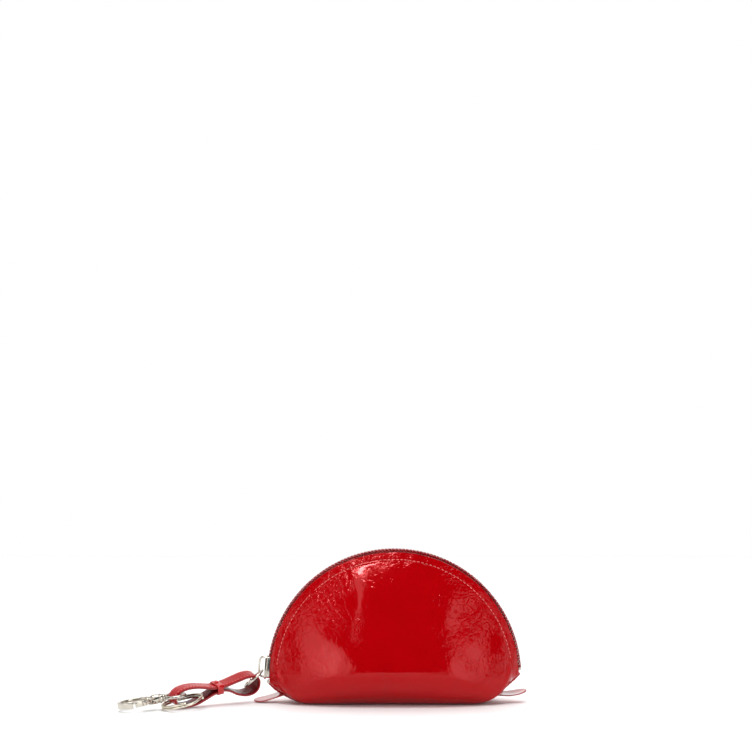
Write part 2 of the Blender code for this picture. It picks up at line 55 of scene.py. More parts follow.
# ------------------------------------------------------------------ sizes, most of them as in the CAD frame
DOME_Z = 13.2 * MM
RIM_R = 62.0 * MM
RIM_Y = 5.3 * MM
BELLY_Y = 25.0 * MM
LEATHER = 1.2 * MM
TAPE_R = 61.1 * MM
COIL_R = 62.7 * MM
COIL_PITCH = 1.75 * MM
COIL_WIRE = 0.33 * MM
SLIDER_ANGLE = math.radians(176.0)
ZIP_FIRST = math.radians(3.4)
ZIP_LAST = math.radians(181.6)

STRAP_FROM = Vector((-70.8, -1.4, 9.8)) * MM
STRAP_ALONG = Vector((-0.828, -0.539, -0.151)).normalized()
STRAP_ROLLS = (math.radians(18), math.radians(7))
STRAP_WIDTH = 7.2 * MM
STRAP_LEATHER = 1.2 * MM
STRAP_ROUTE = (  # along and up, in millimetres
    (0.5, 4.8), (5.0, 5.4), (10.0, 4.6), (15.0, 3.7), (19.5, 3.3), (24.0, 3.6), (28.5, 4.8), (33.5, 6.0),
    (38.5, 6.4), (43.0, 5.4), (45.6, 2.6), (44.8, 0.0), (41.5, -1.8), (37.5, -2.5), (33.0, -2.2),
    (29.0, -1.0), (24.0, 0.6), (19.5, 1.5), (15.0, 0.4), (10.0, -2.6), (5.0, -4.2), (0.5, -3.7), (-1.7, -1.4),
    (-1.8, 2.4),
)
KEEPER_ALONG = 20.5 * MM

JUMP = (Vector((-70.2, -1.3, 12.1)) * MM, Vector((-0.660, -0.047, 0.750)), Vector((-0.730, -0.300, -0.610)))
JUMP_R, JUMP_WIRE = 6.0 * MM, 0.5 * MM
SPLIT = (Vector((-103.64, -29.13, 3.99)) * MM, Vector((-0.2296, -0.0746, 0.9704)))
SPLIT_R, SPLIT_PITCH = 10.1 * MM, 1.18 * MM
HOOK_FROM = Vector((-113.8, -28.9, 5.7)) * MM
HOOK_ALONG = Vector((-0.922, -0.364, -0.130)).normalized()
LOOP_MIDDLE, LOOP_HALF_LENGTH, LOOP_HALF_WIDTH = 13.5 * MM, 8.0 * MM, 5.6 * MM


# ------------------------------------------------------------------ small tools


def smooth(value, low, high):
    t = np.clip((value - low) / (high - low), 0.0, 1.0)
    return t * t * (3 - 2 * t)


def unit(rows):
    return rows / np.maximum(np.linalg.norm(rows, axis=-1, keepdims=True), 1e-12)


def object_from(name, points, faces, materials, face_slots=None, shade_smooth=True, crease_angle=40):
    mesh = bpy.data.meshes.new(name)
    corners = [tuple(float(c) for c in p) for p in points]
    mesh.from_pydata(corners, [], [tuple(int(i) for i in f) for f in faces])
    if face_slots is not None:
        mesh.polygons.foreach_set("material_index", list(face_slots))
    work = bmesh.new()
    work.from_mesh(mesh)
    bmesh.ops.remove_doubles(work, verts=work.verts, dist=1e-7)
    bmesh.ops.recalc_face_normals(work, faces=work.faces)
    work.to_mesh(mesh)
    work.free()
    for entry in materials if isinstance(materials, (list, tuple)) else [materials]:
        mesh.materials.append(entry)
    if shade_smooth:
        mesh.shade_smooth()
        mesh.set_sharp_from_angle(angle=math.radians(crease_angle))
    obj = bpy.data.objects.new(name, mesh)
    bpy.context.scene.collection.objects.link(obj)
    return obj


def bake_modifiers(obj):
    """Turns the modified shape into the object's own mesh."""
    bpy.context.view_layer.update()
    graph = bpy.context.evaluated_depsgraph_get()
    baked = bpy.data.meshes.new_from_object(obj.evaluated_get(graph))
    obj.modifiers.clear()
    obj.data = baked
    return obj


def add_bevel(obj, width, segments=3, angle=35):
    modifier = obj.modifiers.new("soft edges", "BEVEL")
    modifier.width = width
    modifier.segments = segments
    modifier.limit_method = "ANGLE"
    modifier.angle_limit = math.radians(angle)
    modifier.harden_normals = False
    return bake_modifiers(obj)


def grid_faces(rows, columns, closed_rows=False, closed_columns=False, start=0):
    faces = []
    for r in range(rows if closed_rows else rows - 1):
        for c in range(columns if closed_columns else columns - 1):
            r2, c2 = (r + 1) % rows, (c + 1) % columns
            here, there = start + r * columns, start + r2 * columns
            faces.append((here + c, here + c2, there + c2, there + c))
    return faces


def axes(origin, along, across, up):
    matrix = Matrix((along, across, up)).transposed().to_4x4()
    matrix.translation = origin
    return matrix


def catmull(points, closed, steps):
    count = len(points)
    made = []
    for i in range(count if closed else count - 1):
        near = [i + k for k in (-1, 0, 1, 2)]
        near = [k % count if closed else min(max(k, 0), count - 1) for k in near]
        a, b, c, d = (Vector(points[k]) for k in near)
        for step in range(steps):
            t = step / steps
            curve = (2 * a - 5 * b + 4 * c - d) * t**2 + (3 * b - a - 3 * c + d) * t**3
            made.append(0.5 * (2 * b + (c - a) * t + curve))
    if not closed:
        made.append(Vector(points[-1]))
    return made


def sweep(path, normal, section, closed=False, scale=None):
    """Carries a section along a path. The section's pairs are (across the path, along normal). A scale, one
    (across, along normal) pair for each point of the path, makes it narrower there."""
    path = [Vector(p) for p in path]
    count, sides = len(path), len(section)
    points = []
    for i, p in enumerate(path):
        after = path[(i + 1) % count] if closed else path[min(i + 1, count - 1)]
        before = path[(i - 1) % count] if closed else path[max(i - 1, 0)]
        tangent = (after - before).normalized()
        n = normal(i) if callable(normal) else normal
        across = n.cross(tangent).normalized()
        up = tangent.cross(across).normalized()
        sa, sb = scale[i] if scale else (1.0, 1.0)
        points += [p + across * (a * sa) + up * (b * sb) for a, b in section]
    faces = grid_faces(count, sides, closed_rows=closed, closed_columns=True)
    if not closed:
        faces += [tuple(range(sides)), tuple(range((count - 1) * sides, count * sides))]
    return points, faces


def circle(radius, sides, squash=1.0):
    turn = 2 * math.pi / sides
    return [(radius * math.cos(turn * k), radius * squash * math.sin(turn * k)) for k in range(sides)]


def rounded(width, height, radius, steps=3):
    """A rectangle with rounded corners, as section pairs."""
    made = []
    for cx, cy, first in ((1, 1, 0), (-1, 1, 90), (-1, -1, 180), (1, -1, 270)):
        for k in range(steps + 1):
            a = math.radians(first + 90 * k / steps)
            made.append(
                (
                    cx * (width / 2 - radius) + radius * math.cos(a),
                    cy * (height / 2 - radius) + radius * math.sin(a),
                )
            )
    return made


def placed(parts, matrix=None):
    """Joins (points, faces) pairs into one, moved by matrix."""
    points, faces = [], []
    for part_points, part_faces in parts:
        start = len(points)
        points += [matrix @ Vector(p) if matrix else Vector(p) for p in part_points]
        faces += [tuple(i + start for i in f) for f in part_faces]
    return points, faces


def outline_prism(outline, low, high):
    """A prism over an outline in the plane of the first two axes."""
    count = len(outline)
    points = [Vector((x, y, low)) for x, y in outline] + [Vector((x, y, high)) for x, y in outline]
    faces = [(k, (k + 1) % count, count + (k + 1) % count, count + k) for k in range(count)]
    faces += [tuple(range(count)), tuple(range(count, 2 * count))]
    return points, faces


def capsule(start, end, radius, sides=7):
    """A short round stitch between two points, domed at both ends."""
    start, end = Vector(start), Vector(end)
    direction = end - start
    side = direction.orthogonal().normalized()
    path = [start + direction * share for share in (0, 0.08, 0.3, 0.7, 0.92)] + [end]
    scale = [(0.35, 0.35), (0.8, 0.8), (1, 1), (1, 1), (0.8, 0.8), (0.35, 0.35)]
    return sweep(path, side, circle(radius, sides), scale=scale)


# ------------------------------------------------------------------ materials


def nodes_of(name):
    made = bpy.data.materials.new(name)
    made.use_nodes = True
    tree = made.node_tree
    return made, tree, tree.nodes["Principled BSDF"]


def add_node(tree, kind, **settings):
    node = tree.nodes.new(kind)
    for key, value in settings.items():
        if key in node.inputs:
            node.inputs[key].default_value = value
        else:
            setattr(node, key, value)
    return node


def math_node(tree, operation, *values):
    node = tree.nodes.new("ShaderNodeMath")
    node.operation = operation
    for index, value in enumerate(values):
        if hasattr(value, "is_output"):
            tree.links.new(value, node.inputs[index])
        else:
            node.inputs[index].default_value = value
    return node.outputs[0]


def coordinates(tree, scale=(1, 1, 1)):
    place = tree.nodes.new("ShaderNodeTexCoord").outputs["Object"]
    mapping = tree.nodes.new("ShaderNodeMapping")
    mapping.inputs["Scale"].default_value = scale
    tree.links.new(place, mapping.inputs["Vector"])
    return mapping.outputs["Vector"]


def noise_node(tree, vector, scale, detail=3.0, roughness=0.55, distortion=0.0):
    settings = {"Scale": scale, "Detail": detail, "Roughness": roughness, "Distortion": distortion}
    node = add_node(tree, "ShaderNodeTexNoise", **settings)
    tree.links.new(vector, node.inputs["Vector"])
    return node.outputs["Fac"]


def ramp(tree, value, stops):
    node = tree.nodes.new("ShaderNodeValToRGB")
    tree.links.new(value, node.inputs["Fac"])
    elements = node.color_ramp.elements
    while len(elements) < len(stops):
        elements.new(0.5)
    for element, (position, colour) in zip(elements, stops):
        element.position = position
        element.color = colour if len(colour) == 4 else (*colour, 1)
    return node.outputs["Color"]


def bump(tree, height, strength, distance, normal=None):
    node = add_node(tree, "ShaderNodeBump", Strength=strength, Distance=distance)
    tree.links.new(height, node.inputs["Height"])
    if normal is not None:
        tree.links.new(normal, node.inputs["Normal"])
    return node.outputs["Normal"]


def crinkle_height(tree, vector, cell, warp):
    """Fine creases: the edges of warped cells, in metres of cell size."""
    warping = add_node(tree, "ShaderNodeTexNoise", Scale=0.35 / cell, Detail=2.0)
    tree.links.new(vector, warping.inputs["Vector"])
    mixed = tree.nodes.new("ShaderNodeVectorMath")
    mixed.operation = "MULTIPLY_ADD"
    tree.links.new(warping.outputs["Color"], mixed.inputs[0])
    mixed.inputs[1].default_value = (warp, warp, warp)
    tree.links.new(vector, mixed.inputs[2])
    cells = add_node(tree, "ShaderNodeTexVoronoi", Scale=1.0 / cell, Randomness=1.0)
    cells.feature = "DISTANCE_TO_EDGE"
    tree.links.new(mixed.outputs[0], cells.inputs["Vector"])
    return math_node(tree, "MINIMUM", cells.outputs["Distance"], 0.16)


def patent_leather(name, colour, dark, crinkle=1.0, coat=1.0, tinted=0.55):
    """Lacquered leather: saturated colour under a clear glossy coat, with fine creases where the mesh's own
    crease attribute says that it is worked."""
    made, tree, shader = nodes_of(name)
    vector = coordinates(tree)
    tone = noise_node(tree, vector, 55, 4, 0.6)
    pores = noise_node(tree, vector, 900, 2, 0.5)
    mixed = math_node(tree, "MULTIPLY_ADD", pores, 0.25, math_node(tree, "MULTIPLY", tone, 0.75))
    tree.links.new(ramp(tree, mixed, ((0.28, dark), (0.62, colour))), shader.inputs["Base Color"])
    tree.links.new(math_node(tree, "MULTIPLY_ADD", pores, 0.05, 0.055), shader.inputs["Roughness"])
    shader.inputs["Specular IOR Level"].default_value = tinted
    shader.inputs["Specular Tint"].default_value = (1.0, 0.20, 0.20, 1.0)
    shader.inputs["Coat Weight"].default_value = coat
    shader.inputs["Coat Roughness"].default_value = 0.035
    shader.inputs["Coat IOR"].default_value = 1.5
    worked = add_node(tree, "ShaderNodeAttribute", attribute_name="crease").outputs["Fac"]
    coarse = crinkle_height(tree, vector, 3.4 * MM, 1.2 * MM)
    fine = crinkle_height(tree, vector, 1.25 * MM, 0.5 * MM)
    large, small = math_node(tree, "MULTIPLY", coarse, 1.3), math_node(tree, "MULTIPLY", fine, 0.5)
    creases = math_node(tree, "ADD", large, small)
    shallow = math_node(tree, "MULTIPLY", creases, math_node(tree, "MULTIPLY_ADD", worked, 1.0, 0.02))
    soft = noise_node(tree, vector, 130, 2, 0.5)
    height = math_node(tree, "ADD", shallow, math_node(tree, "MULTIPLY", soft, 0.22))
    normal = bump(tree, height, min(1.0, 0.55 * crinkle), 0.35 * MM * max(1.0, crinkle * 0.55))
    tree.links.new(normal, shader.inputs["Normal"])
    tree.links.new(normal, shader.inputs["Coat Normal"])
    return made


def painted_edge():
    made, tree, shader = nodes_of("painted_edge")
    vector = coordinates(tree)
    value = noise_node(tree, vector, 700, 3, 0.6)
    colour = ramp(tree, value, ((0.3, (0.24, 0.003, 0.005)), (0.7, (0.38, 0.005, 0.009))))
    tree.links.new(colour, shader.inputs["Base Color"])
    shader.inputs["Roughness"].default_value = 0.42
    tree.links.new(bump(tree, value, 0.3, 0.08 * MM), shader.inputs["Normal"])
    return made


def woven(name, light, dark, pitch, roughness=0.85):
    """Plain weave from two crossed waves."""
    made, tree, shader = nodes_of(name)
    vector = coordinates(tree)
    threads = []
    for direction in ("X", "Z"):
        wave = add_node(tree, "ShaderNodeTexWave", Scale=0.31 / pitch, Distortion=0.6, Detail=1.0)
        wave.bands_direction = direction
        tree.links.new(vector, wave.inputs["Vector"])
        threads.append(wave.outputs["Fac"])
    weave = math_node(tree, "MULTIPLY", *threads)
    fuzz = noise_node(tree, vector, 1500, 3, 0.7)
    value = math_node(tree, "MULTIPLY_ADD", fuzz, 0.35, math_node(tree, "MULTIPLY", weave, 0.8))
    tree.links.new(ramp(tree, value, ((0.1, dark), (0.75, light))), shader.inputs["Base Color"])
    shader.inputs["Roughness"].default_value = roughness
    shader.inputs["Sheen Weight"].default_value = 0.25
    tree.links.new(bump(tree, value, 0.5, 0.15 * MM), shader.inputs["Normal"])
    return made


def nylon():
    made, tree, shader = nodes_of("zip_nylon")
    vector = coordinates(tree)
    value = noise_node(tree, vector, 420, 3, 0.6)
    colour = ramp(tree, value, ((0.3, (0.20, 0.002, 0.005)), (0.7, (0.44, 0.008, 0.012))))
    tree.links.new(colour, shader.inputs["Base Color"])
    tree.links.new(math_node(tree, "MULTIPLY_ADD", value, 0.2, 0.2), shader.inputs["Roughness"])
    shader.inputs["Specular Tint"].default_value = (1.0, 0.2, 0.2, 1.0)
    return made


def thread(name, dark, light):
    made, tree, shader = nodes_of(name)
    vector = coordinates(tree)
    wave = add_node(tree, "ShaderNodeTexWave", Scale=900.0, Distortion=1.5)
    wave.bands_direction = "DIAGONAL"
    tree.links.new(vector, wave.inputs["Vector"])
    value = wave.outputs["Fac"]
    tree.links.new(ramp(tree, value, ((0.2, dark), (0.8, light))), shader.inputs["Base Color"])
    shader.inputs["Roughness"].default_value = 0.38
    shader.inputs["Sheen Weight"].default_value = 0.3
    tree.links.new(bump(tree, value, 0.6, 0.05 * MM), shader.inputs["Normal"])
    return made


def plated(name, colour, shade, roughness=0.16):
    """Polished plated metal with faint handling marks."""
    made, tree, shader = nodes_of(name)
    vector = coordinates(tree)
    cloud = noise_node(tree, vector, 260, 4, 0.6)
    marks = noise_node(tree, coordinates(tree, (1, 6, 1)), 1400, 3, 0.7)
    tree.links.new(ramp(tree, cloud, ((0.3, shade), (0.7, colour))), shader.inputs["Base Color"])
    shader.inputs["Metallic"].default_value = 1.0
    tree.links.new(math_node(tree, "MULTIPLY_ADD", marks, 0.16, roughness - 0.06), shader.inputs["Roughness"])
    tree.links.new(bump(tree, marks, 0.10, 0.03 * MM), shader.inputs["Normal"])
    return made


def floor_material():
    made, tree, shader = nodes_of("pale_floor")
    vector = coordinates(tree)
    value = noise_node(tree, vector, 3, 2, 0.5)
    colour = ramp(tree, value, ((0.3, (0.90, 0.90, 0.90)), (0.7, (0.93, 0.93, 0.93))))
    tree.links.new(colour, shader.inputs["Base Color"])
    shader.inputs["Roughness"].default_value = 0.5
    shader.inputs["Specular IOR Level"].default_value = 0.25
    return made


RED = patent_leather("red_patent", (0.42, 0.0004, 0.0026), (0.37, 0.0003, 0.0020), crinkle=1.9, coat=0.17)
STRAP_RED = patent_leather(
    "strap_patent", (0.40, 0.0012, 0.0034), (0.28, 0.0008, 0.0026), crinkle=1.8, coat=0.12, tinted=0.4
)
STRAP_BACK = patent_leather(
    "strap_inside", (0.16, 0.003, 0.006), (0.08, 0.002, 0.004), crinkle=1.8, coat=0.05, tinted=0.3
)
# The tabs' base red is lighter than the body's, though it is the same leather: painted sheen for the pale
# pink grazing reflection of the white backdrop.
TAB_LEATHER = patent_leather(
    "tab_patent_painted_sheen", (0.52, 0.0060, 0.0100), (0.42, 0.0030, 0.0060), crinkle=0.35, coat=1.0
)
# The keeper's base red is lighter than the strap's, though it is the same leather: painted sheen for the
# white-pink reflection on its top face.
KEEPER_RED = patent_leather(
    "keeper_patent_painted_sheen", (0.52, 0.0030, 0.0070), (0.42, 0.0020, 0.0050), crinkle=0.5, coat=1.0
)
TAB_LEATHER.node_tree.nodes["Principled BSDF"].inputs["Coat IOR"].default_value = 1.8
EDGE = painted_edge()
LINING = woven("dark_lining", (0.085, 0.060, 0.052), (0.030, 0.020, 0.018), 0.5 * MM)
TAPE = woven("red_tape", (0.36, 0.010, 0.014), (0.16, 0.004, 0.008), 0.45 * MM)
NYLON = nylon()
# The sewing thread is red. Its pale pink light stop is painted sheen for the glints along the stitches, and
# the diagonal banding is the thread's twist.
THREAD = thread("sewing_thread_painted_sheen", (0.60, 0.05, 0.05), (0.85, 0.22, 0.20))
COIL_THREAD = thread("coil_thread", (0.30, 0.006, 0.010), (0.55, 0.030, 0.035))
NICKEL = plated("pale_nickel", (0.64, 0.60, 0.53), (0.52, 0.48, 0.42))
WARM_NICKEL = plated("warm_nickel", (0.72, 0.66, 0.55), (0.60, 0.54, 0.44), 0.2)


# ------------------------------------------------------------------ body leather

# where the leather is pressed flat: x, z and how deep, in millimetres
FRONT_FACETS = ((-30, 47, 0.8), (-34, 24, 0.4), (35, 42, 0.7), (37, 20, 0.5))
BACK_FACETS = ((26, 48, 0.8), (-34, 30, 0.7), (36, 22, 0.5), (-12, 60, 0.5))
# where it's crackled: x, z, reach and how much
FRONT_CREASES = (
    (20, 52, 5, 0.7), (19, 39, 4, 0.7), (26, 33, 4, 0.8), (32, 27, 4, 0.9), (38, 20, 4, 0.9),
    (43, 15, 4, 0.8),
    (38, 36, 6, 1.0), (-36, 50, 9, 0.6), (-27, 44, 6, 0.5), (-18, 42, 4, 0.5), (-18, 32, 4, 0.4),
    (-25, 58, 5, 0.5), (-12, 68, 8, -1.1), (-14, 56, 6, -0.6), (8, 60, 9, -0.5),
)
BACK_CREASES = ((-22, 50, 7, 0.7), (-30, 34, 6, 0.8), (24, 38, 6, 0.8), (36, 24, 6, 0.8))


def depth(x, z, rim_y=RIM_Y, belly=BELLY_Y):
    """How far the leather stands from the middle plane."""
    up = z - DOME_Z
    rho = np.minimum(np.hypot(x, up) / RIM_R, 1.0)
    rise = up**2 / np.maximum(x**2 + up**2, 1e-12)
    power = 2.6 * (1 - rise) + 1.5 * rise
    return rim_y + (belly - rim_y) * (1 - rho**power)


def flattened(x, z, out, facets):
    """The bulge with flats pressed into it. A facet is its place (x, z) and how deep it's pressed, in mm."""
    blend = 0.35 * MM
    for fx, fz, cut in facets:
        fx, fz = fx * MM, fz * MM
        step = 0.5 * MM
        middle = depth(np.array(fx), np.array(fz))
        west, east = (depth(np.array(fx + d), np.array(fz)) for d in (-step, step))
        below, above = (depth(np.array(fx), np.array(fz + d)) for d in (-step, step))
        slope_x, slope_z = (east - west) / (2 * step), (above - below) / (2 * step)
        flat = middle - cut * MM + slope_x * (x - fx) + slope_z * (z - fz)
        share = np.clip(0.5 + 0.5 * (flat - out) / blend, 0, 1)
        out = flat * (1 - share) + out * share - blend * share * (1 - share)
    return out


def noise_at(points, scale, seed, ridged=False):
    """Smooth noise from -1 to 1, or ridges from 0 to 1, at each point."""
    values = np.empty(len(points))
    shift = Vector((seed * 7.31, seed * 3.77, seed * 5.13))
    for i, p in enumerate(points):
        value = noise.noise(Vector(p) * scale + shift)
        values[i] = 1 - abs(value) * 2 if ridged else value
    return values


def shell_guides(columns):
    """The rim line, the crease line and the base outline of half the body, as rows of points for each column
    from the left end to the right. The half is the one with y below zero."""
    s = np.linspace(-1, 1, columns)
    a = np.abs(s)
    left = s < 0
    turn = 0.965
    low, high = math.radians(2.0), math.radians(182.4)
    angle = (low + high) / 2 - (high - low) / 2 * np.clip(s / turn, -1, 1)
    over = np.clip((a - turn) / (1 - turn), 0, 1)
    rim = np.stack([RIM_R * np.cos(angle), -RIM_Y * np.sqrt(1 - over**2), DOME_Z + RIM_R * np.sin(angle)], 1)
    rim[:, 0] += np.sign(s) * 0.5 * MM * over
    rim[:, 2] -= 0.5 * MM * over

    ear = np.clip((a - 0.8) / 0.2, 0, 1)
    x = np.sign(s) * (53.0 * MM * np.minimum(a / 0.8, 1) + 6.8 * MM * ear**0.9)
    z = 17.2 * MM - 8.6 * MM * (np.minimum(np.abs(x), 53 * MM) / (53 * MM)) ** 2.4
    end_z = np.where(left, 7.4, 12.0) * MM
    z = z + (end_z - z) * smooth(ear, 0.0, 1.0)
    y = -depth(x, z) * np.sqrt(np.clip(1 - ear**2.2, 0, 1))
    crease = np.stack([x, y, z], 1)

    along = np.minimum(a / 0.8, 1)
    corner = smooth(along, 0.55, 1.0)
    bx = np.sign(s) * (42.0 * MM * along + 1.5 * MM * ear) - 1.5 * MM
    by = -(7.5 * MM - 1.5 * MM * corner) * (1 - ear**2) * (1 - 0.15 * ear)
    base = np.stack([bx, by, np.zeros(columns)], 1)
    return s, rim, crease, base


def half_shell(inset, seed, columns, upper, lower, facets=(), creased=()):
    """Points of half the body on a grid, with each point's crease value. The half has y below zero."""
    s, rim, crease, base = shell_guides(columns)
    rows = []
    for k in range(upper + 1):
        t = k / upper
        t = 0.55 * t + 0.45 * t**1.7
        p = rim + (crease - rim) * t
        over = np.clip((np.abs(s) - 0.965) / 0.035, 0, 1)
        bulge = -flattened(p[:, 0], p[:, 2], depth(p[:, 0], p[:, 2]), facets) * np.sqrt(1 - over**2)
        ear = np.clip((np.abs(s) - 0.8) / 0.2, 0, 1)
        drawn_in = np.where(ear > 0, smooth(t, 0.0, 1.0), 0)
        p[:, 1] = bulge + (crease[:, 1] - bulge) * drawn_in * smooth(ear, 0.0, 0.4)
        rows.append(p)
    ear = smooth(np.abs(s), 0.72, 1.0)[:, None]
    out = unit(np.stack([crease[:, 0] * 0.8, crease[:, 1] * 2.6, np.zeros(columns)], 1))
    front_one = crease + np.array([0, 0.9, -6.5]) * MM
    ear_one = crease - np.array([0, 0, 2.4]) * MM - out * 2.6 * MM
    one = front_one * (1 - ear) + ear_one * ear
    front_two = base + np.array([0, -8.0, 0.3]) * MM
    ear_two = base + out * 5.5 * MM + np.array([0, 0, 1.9]) * MM
    two = front_two * (1 - ear) + ear_two * ear
    for k in range(1, lower + 1):
        t = k / lower
        upper_part = (1 - t) ** 3 * crease + 3 * (1 - t) ** 2 * t * one
        rows.append(upper_part + 3 * (1 - t) * t**2 * two + t**3 * base)
    for k in range(1, 9):
        rows.append(base * np.array([1, 1 - k / 8, 1]))
    grid = np.array(rows)
    points = grid.reshape(-1, 3)

    across = np.gradient(grid, axis=1)
    down = np.gradient(grid, axis=0)
    normals = unit(np.cross(down, across)).reshape(-1, 3)
    normals[normals[:, 1] * 1.0 > 0.2] *= -1
    level = np.repeat(np.arange(len(rows)), columns)
    flat = level > upper + lower
    normals[flat] = (0, 0, -1)

    from_centre = np.hypot(points[:, 0], points[:, 2] - DOME_Z)
    inside = RIM_R - from_centre
    on_top = smooth(points[:, 2], 6 * MM, 18 * MM)
    near_rim = np.exp(-((inside / (8.0 * MM)) ** 2)) * on_top
    sides = smooth(np.abs(points[:, 0] + 2 * MM), 16 * MM, 44 * MM)
    worked = np.clip(0.10 + 1.15 * near_rim + 0.42 * sides, 0, 1.2)
    patches = noise_at(points, 70, seed + 1)
    worked *= np.clip(0.75 + 0.9 * patches, 0.08, 1.4)
    for cx, cz, reach, amount in creased:
        away = np.hypot(points[:, 0] - cx * MM, points[:, 2] - cz * MM)
        worked += amount * np.exp(-((away / (reach * MM)) ** 2))
    worked[flat] = 0.15
    worked = np.maximum(worked, 0.02)
    arc = np.arctan2(points[:, 2] - DOME_Z, points[:, 0]) * RIM_R
    polar = np.stack([arc * 330, from_centre * 60, np.zeros(len(points))], 1)
    puckers = noise_at(polar, 1.0, seed + 2)
    folds = noise_at(points, 95, seed + 3, ridged=True)
    fine_folds = noise_at(points, 230, seed + 4, ridged=True)
    sag = noise_at(points, 26, seed + 5)
    stitched = np.exp(-(((inside - 3.4 * MM) / (0.55 * MM)) ** 2)) * on_top
    lift = 0.26 * MM * puckers * near_rim
    lift += 0.16 * MM * np.clip(folds, 0, 1) ** 3 * np.clip(worked, 0, 1)
    lift += 0.06 * MM * np.clip(fine_folds, 0, 1) ** 3 * np.clip(worked, 0, 1)
    lift += 0.55 * MM * sag * (0.35 + 0.65 * sides) * np.clip(inside / (10 * MM), 0, 1)
    lift -= 0.14 * MM * stitched * (0.5 + 0.5 * smooth(points[:, 0], -20 * MM, 10 * MM))
    lift[flat] = 0
    keep = np.clip(1 - smooth(level.astype(float), upper + lower - 6, upper + lower), 0, 1)
    points = points + normals * (lift * keep)[:, None]
    points = points - normals * inset
    points[:, 2] = np.maximum(points[:, 2], inset)
    return points.reshape(grid.shape), np.clip(worked, 0, 1.5)


def build_half(name, side, seed, thickness=LEATHER, inset=0.0, material=None, edge=None, detail=1.0):
    """One half of the body's leather or lining, a closed sheet with a painted rim edge."""
    columns, upper, lower = int(250 * detail), int(104 * detail), int(34 * detail)
    facets, creased = (FRONT_FACETS, FRONT_CREASES) if side < 0 else (BACK_FACETS, BACK_CREASES)
    outer, worked = half_shell(inset, seed, columns, upper, lower, facets, creased)
    inner, _ = half_shell(inset + thickness, seed, columns, upper, lower, facets, creased)
    rows = outer.shape[0]
    both = np.concatenate([outer, inner[::-1]])
    both = both.reshape(-1, 3) * np.array([1, -side, 1])
    faces = grid_faces(2 * rows, columns, closed_rows=True)
    slots = []
    for r in range(2 * rows):
        slots += [1 if r == 2 * rows - 1 else 0] * (columns - 1)
    for c in (0, columns - 1):
        for r in range(rows - 1):
            a, b = r * columns + c, (r + 1) * columns + c
            i, j = (2 * rows - 1 - r) * columns + c, (2 * rows - 2 - r) * columns + c
            faces.append((a, b, j, i))
            slots.append(0)
    obj = object_from(name, both, faces, [material, edge or material], slots, crease_angle=60)
    layer = obj.data.attributes.new("crease", "FLOAT", "POINT")
    values = np.concatenate([worked, worked.reshape(rows, columns)[::-1].reshape(-1)])
    if len(obj.data.vertices) != len(both):  # points at the same place have been merged
        known = {tuple(np.round(point, 7)): value for point, value in zip(both, values)}
        values = [known.get(tuple(np.round(v.co, 7)), 0.3) for v in obj.data.vertices]
    layer.data.foreach_set("value", values)
    return obj


def rim_stitches(name, side):
    """A row of top stitches just inside the rim."""
    pitch, radius = 2.1 * MM, 0.20 * MM
    r = RIM_R - 3.4 * MM
    span = math.radians(175.5)
    count = int(span * r / pitch)
    parts = []
    for k in range(count):
        ends = []
        for share in (0.14, 0.80):
            angle = math.radians(5.0) + span * (k + share) / count
            x, z = r * math.cos(angle), DOME_Z + r * math.sin(angle)
            y = float(depth(np.array(x), np.array(z))) + 0.02 * MM
            ends.append(Vector((x, side * y, z)))
        parts.append(capsule(ends[0], ends[1], radius))
    points, faces = placed(parts)
    return object_from(name, points, faces, THREAD)


def ear_binding(name, end):
    """The folded leather strip that closes the side seam, from the zip's end down to the base."""
    columns, upper, lower = 250, 104, 34
    outer, _ = half_shell(0.0, 3, columns, upper, lower)
    column = outer[: upper + lower - 3, 0 if end < 0 else columns - 1]
    path = [Vector((p[0] + end * 0.10 * MM, 0.0, p[2])) for p in column]
    kept = [path[0]]
    for p in path[1:]:
        if (p - kept[-1]).length > 0.5 * MM:
            kept.append(p)
    tails = [(0.7, 0.8) if i in (0, len(kept) - 1) else (1, 1) for i in range(len(kept))]
    points, faces = sweep(kept, Vector((0, 1, 0)), rounded(1.3 * MM, 3.4 * MM, 0.5 * MM, 4), scale=tails)
    points = [p + Vector((0, 0, 0.12 * MM * noise.noise(p * 400))) for p in points]
    strip = object_from(name, points, faces, STRAP_RED)
    layer = strip.data.attributes.new("crease", "FLOAT", "POINT")
    layer.data.foreach_set("value", [0.9] * len(strip.data.vertices))
    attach(strip, "purse")
    parts = []
    for i in range(1, len(kept) - 2, 3):
        for y in (-1.25, 1.25):
            side = (kept[i + 1] - kept[i]).cross(Vector((0, 1, 0))).normalized()
            side = side if side.x * end > 0 else -side
            shift = side * 0.64 * MM + Vector((0, y * MM, 0))
            end_point = kept[i].lerp(kept[i + 1], 1.0) + shift + (kept[i + 1] - kept[i])
            parts.append(capsule(kept[i] + shift, end_point, 0.15 * MM, 6))
    stitches = object_from(name + "_stitches", *placed(parts), THREAD)
    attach(stitches, "purse")


def seam_cord(name, end):
    """The raised seam across the front of an ear, a little in from its edge."""
    columns, upper, lower = 250, 104, 34
    outer, _ = half_shell(0.0, 3, columns, upper, lower, FRONT_FACETS, FRONT_CREASES)
    share = 0.045
    index = int(columns * share) if end < 0 else columns - 1 - int(columns * share)
    column = outer[upper - 6 : upper + lower - 5, index]
    path = [Vector(p) + Vector((0, -0.08 * MM, 0)) for p in column]
    kept = [path[0]]
    for p in path[1:]:
        if (p - kept[-1]).length > 0.45 * MM:
            kept.append(p)
    points, faces = sweep(kept, Vector((0, 1, 0)), circle(0.30 * MM, 8))
    cord = object_from(name, points, faces, EDGE)
    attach(cord, "purse")


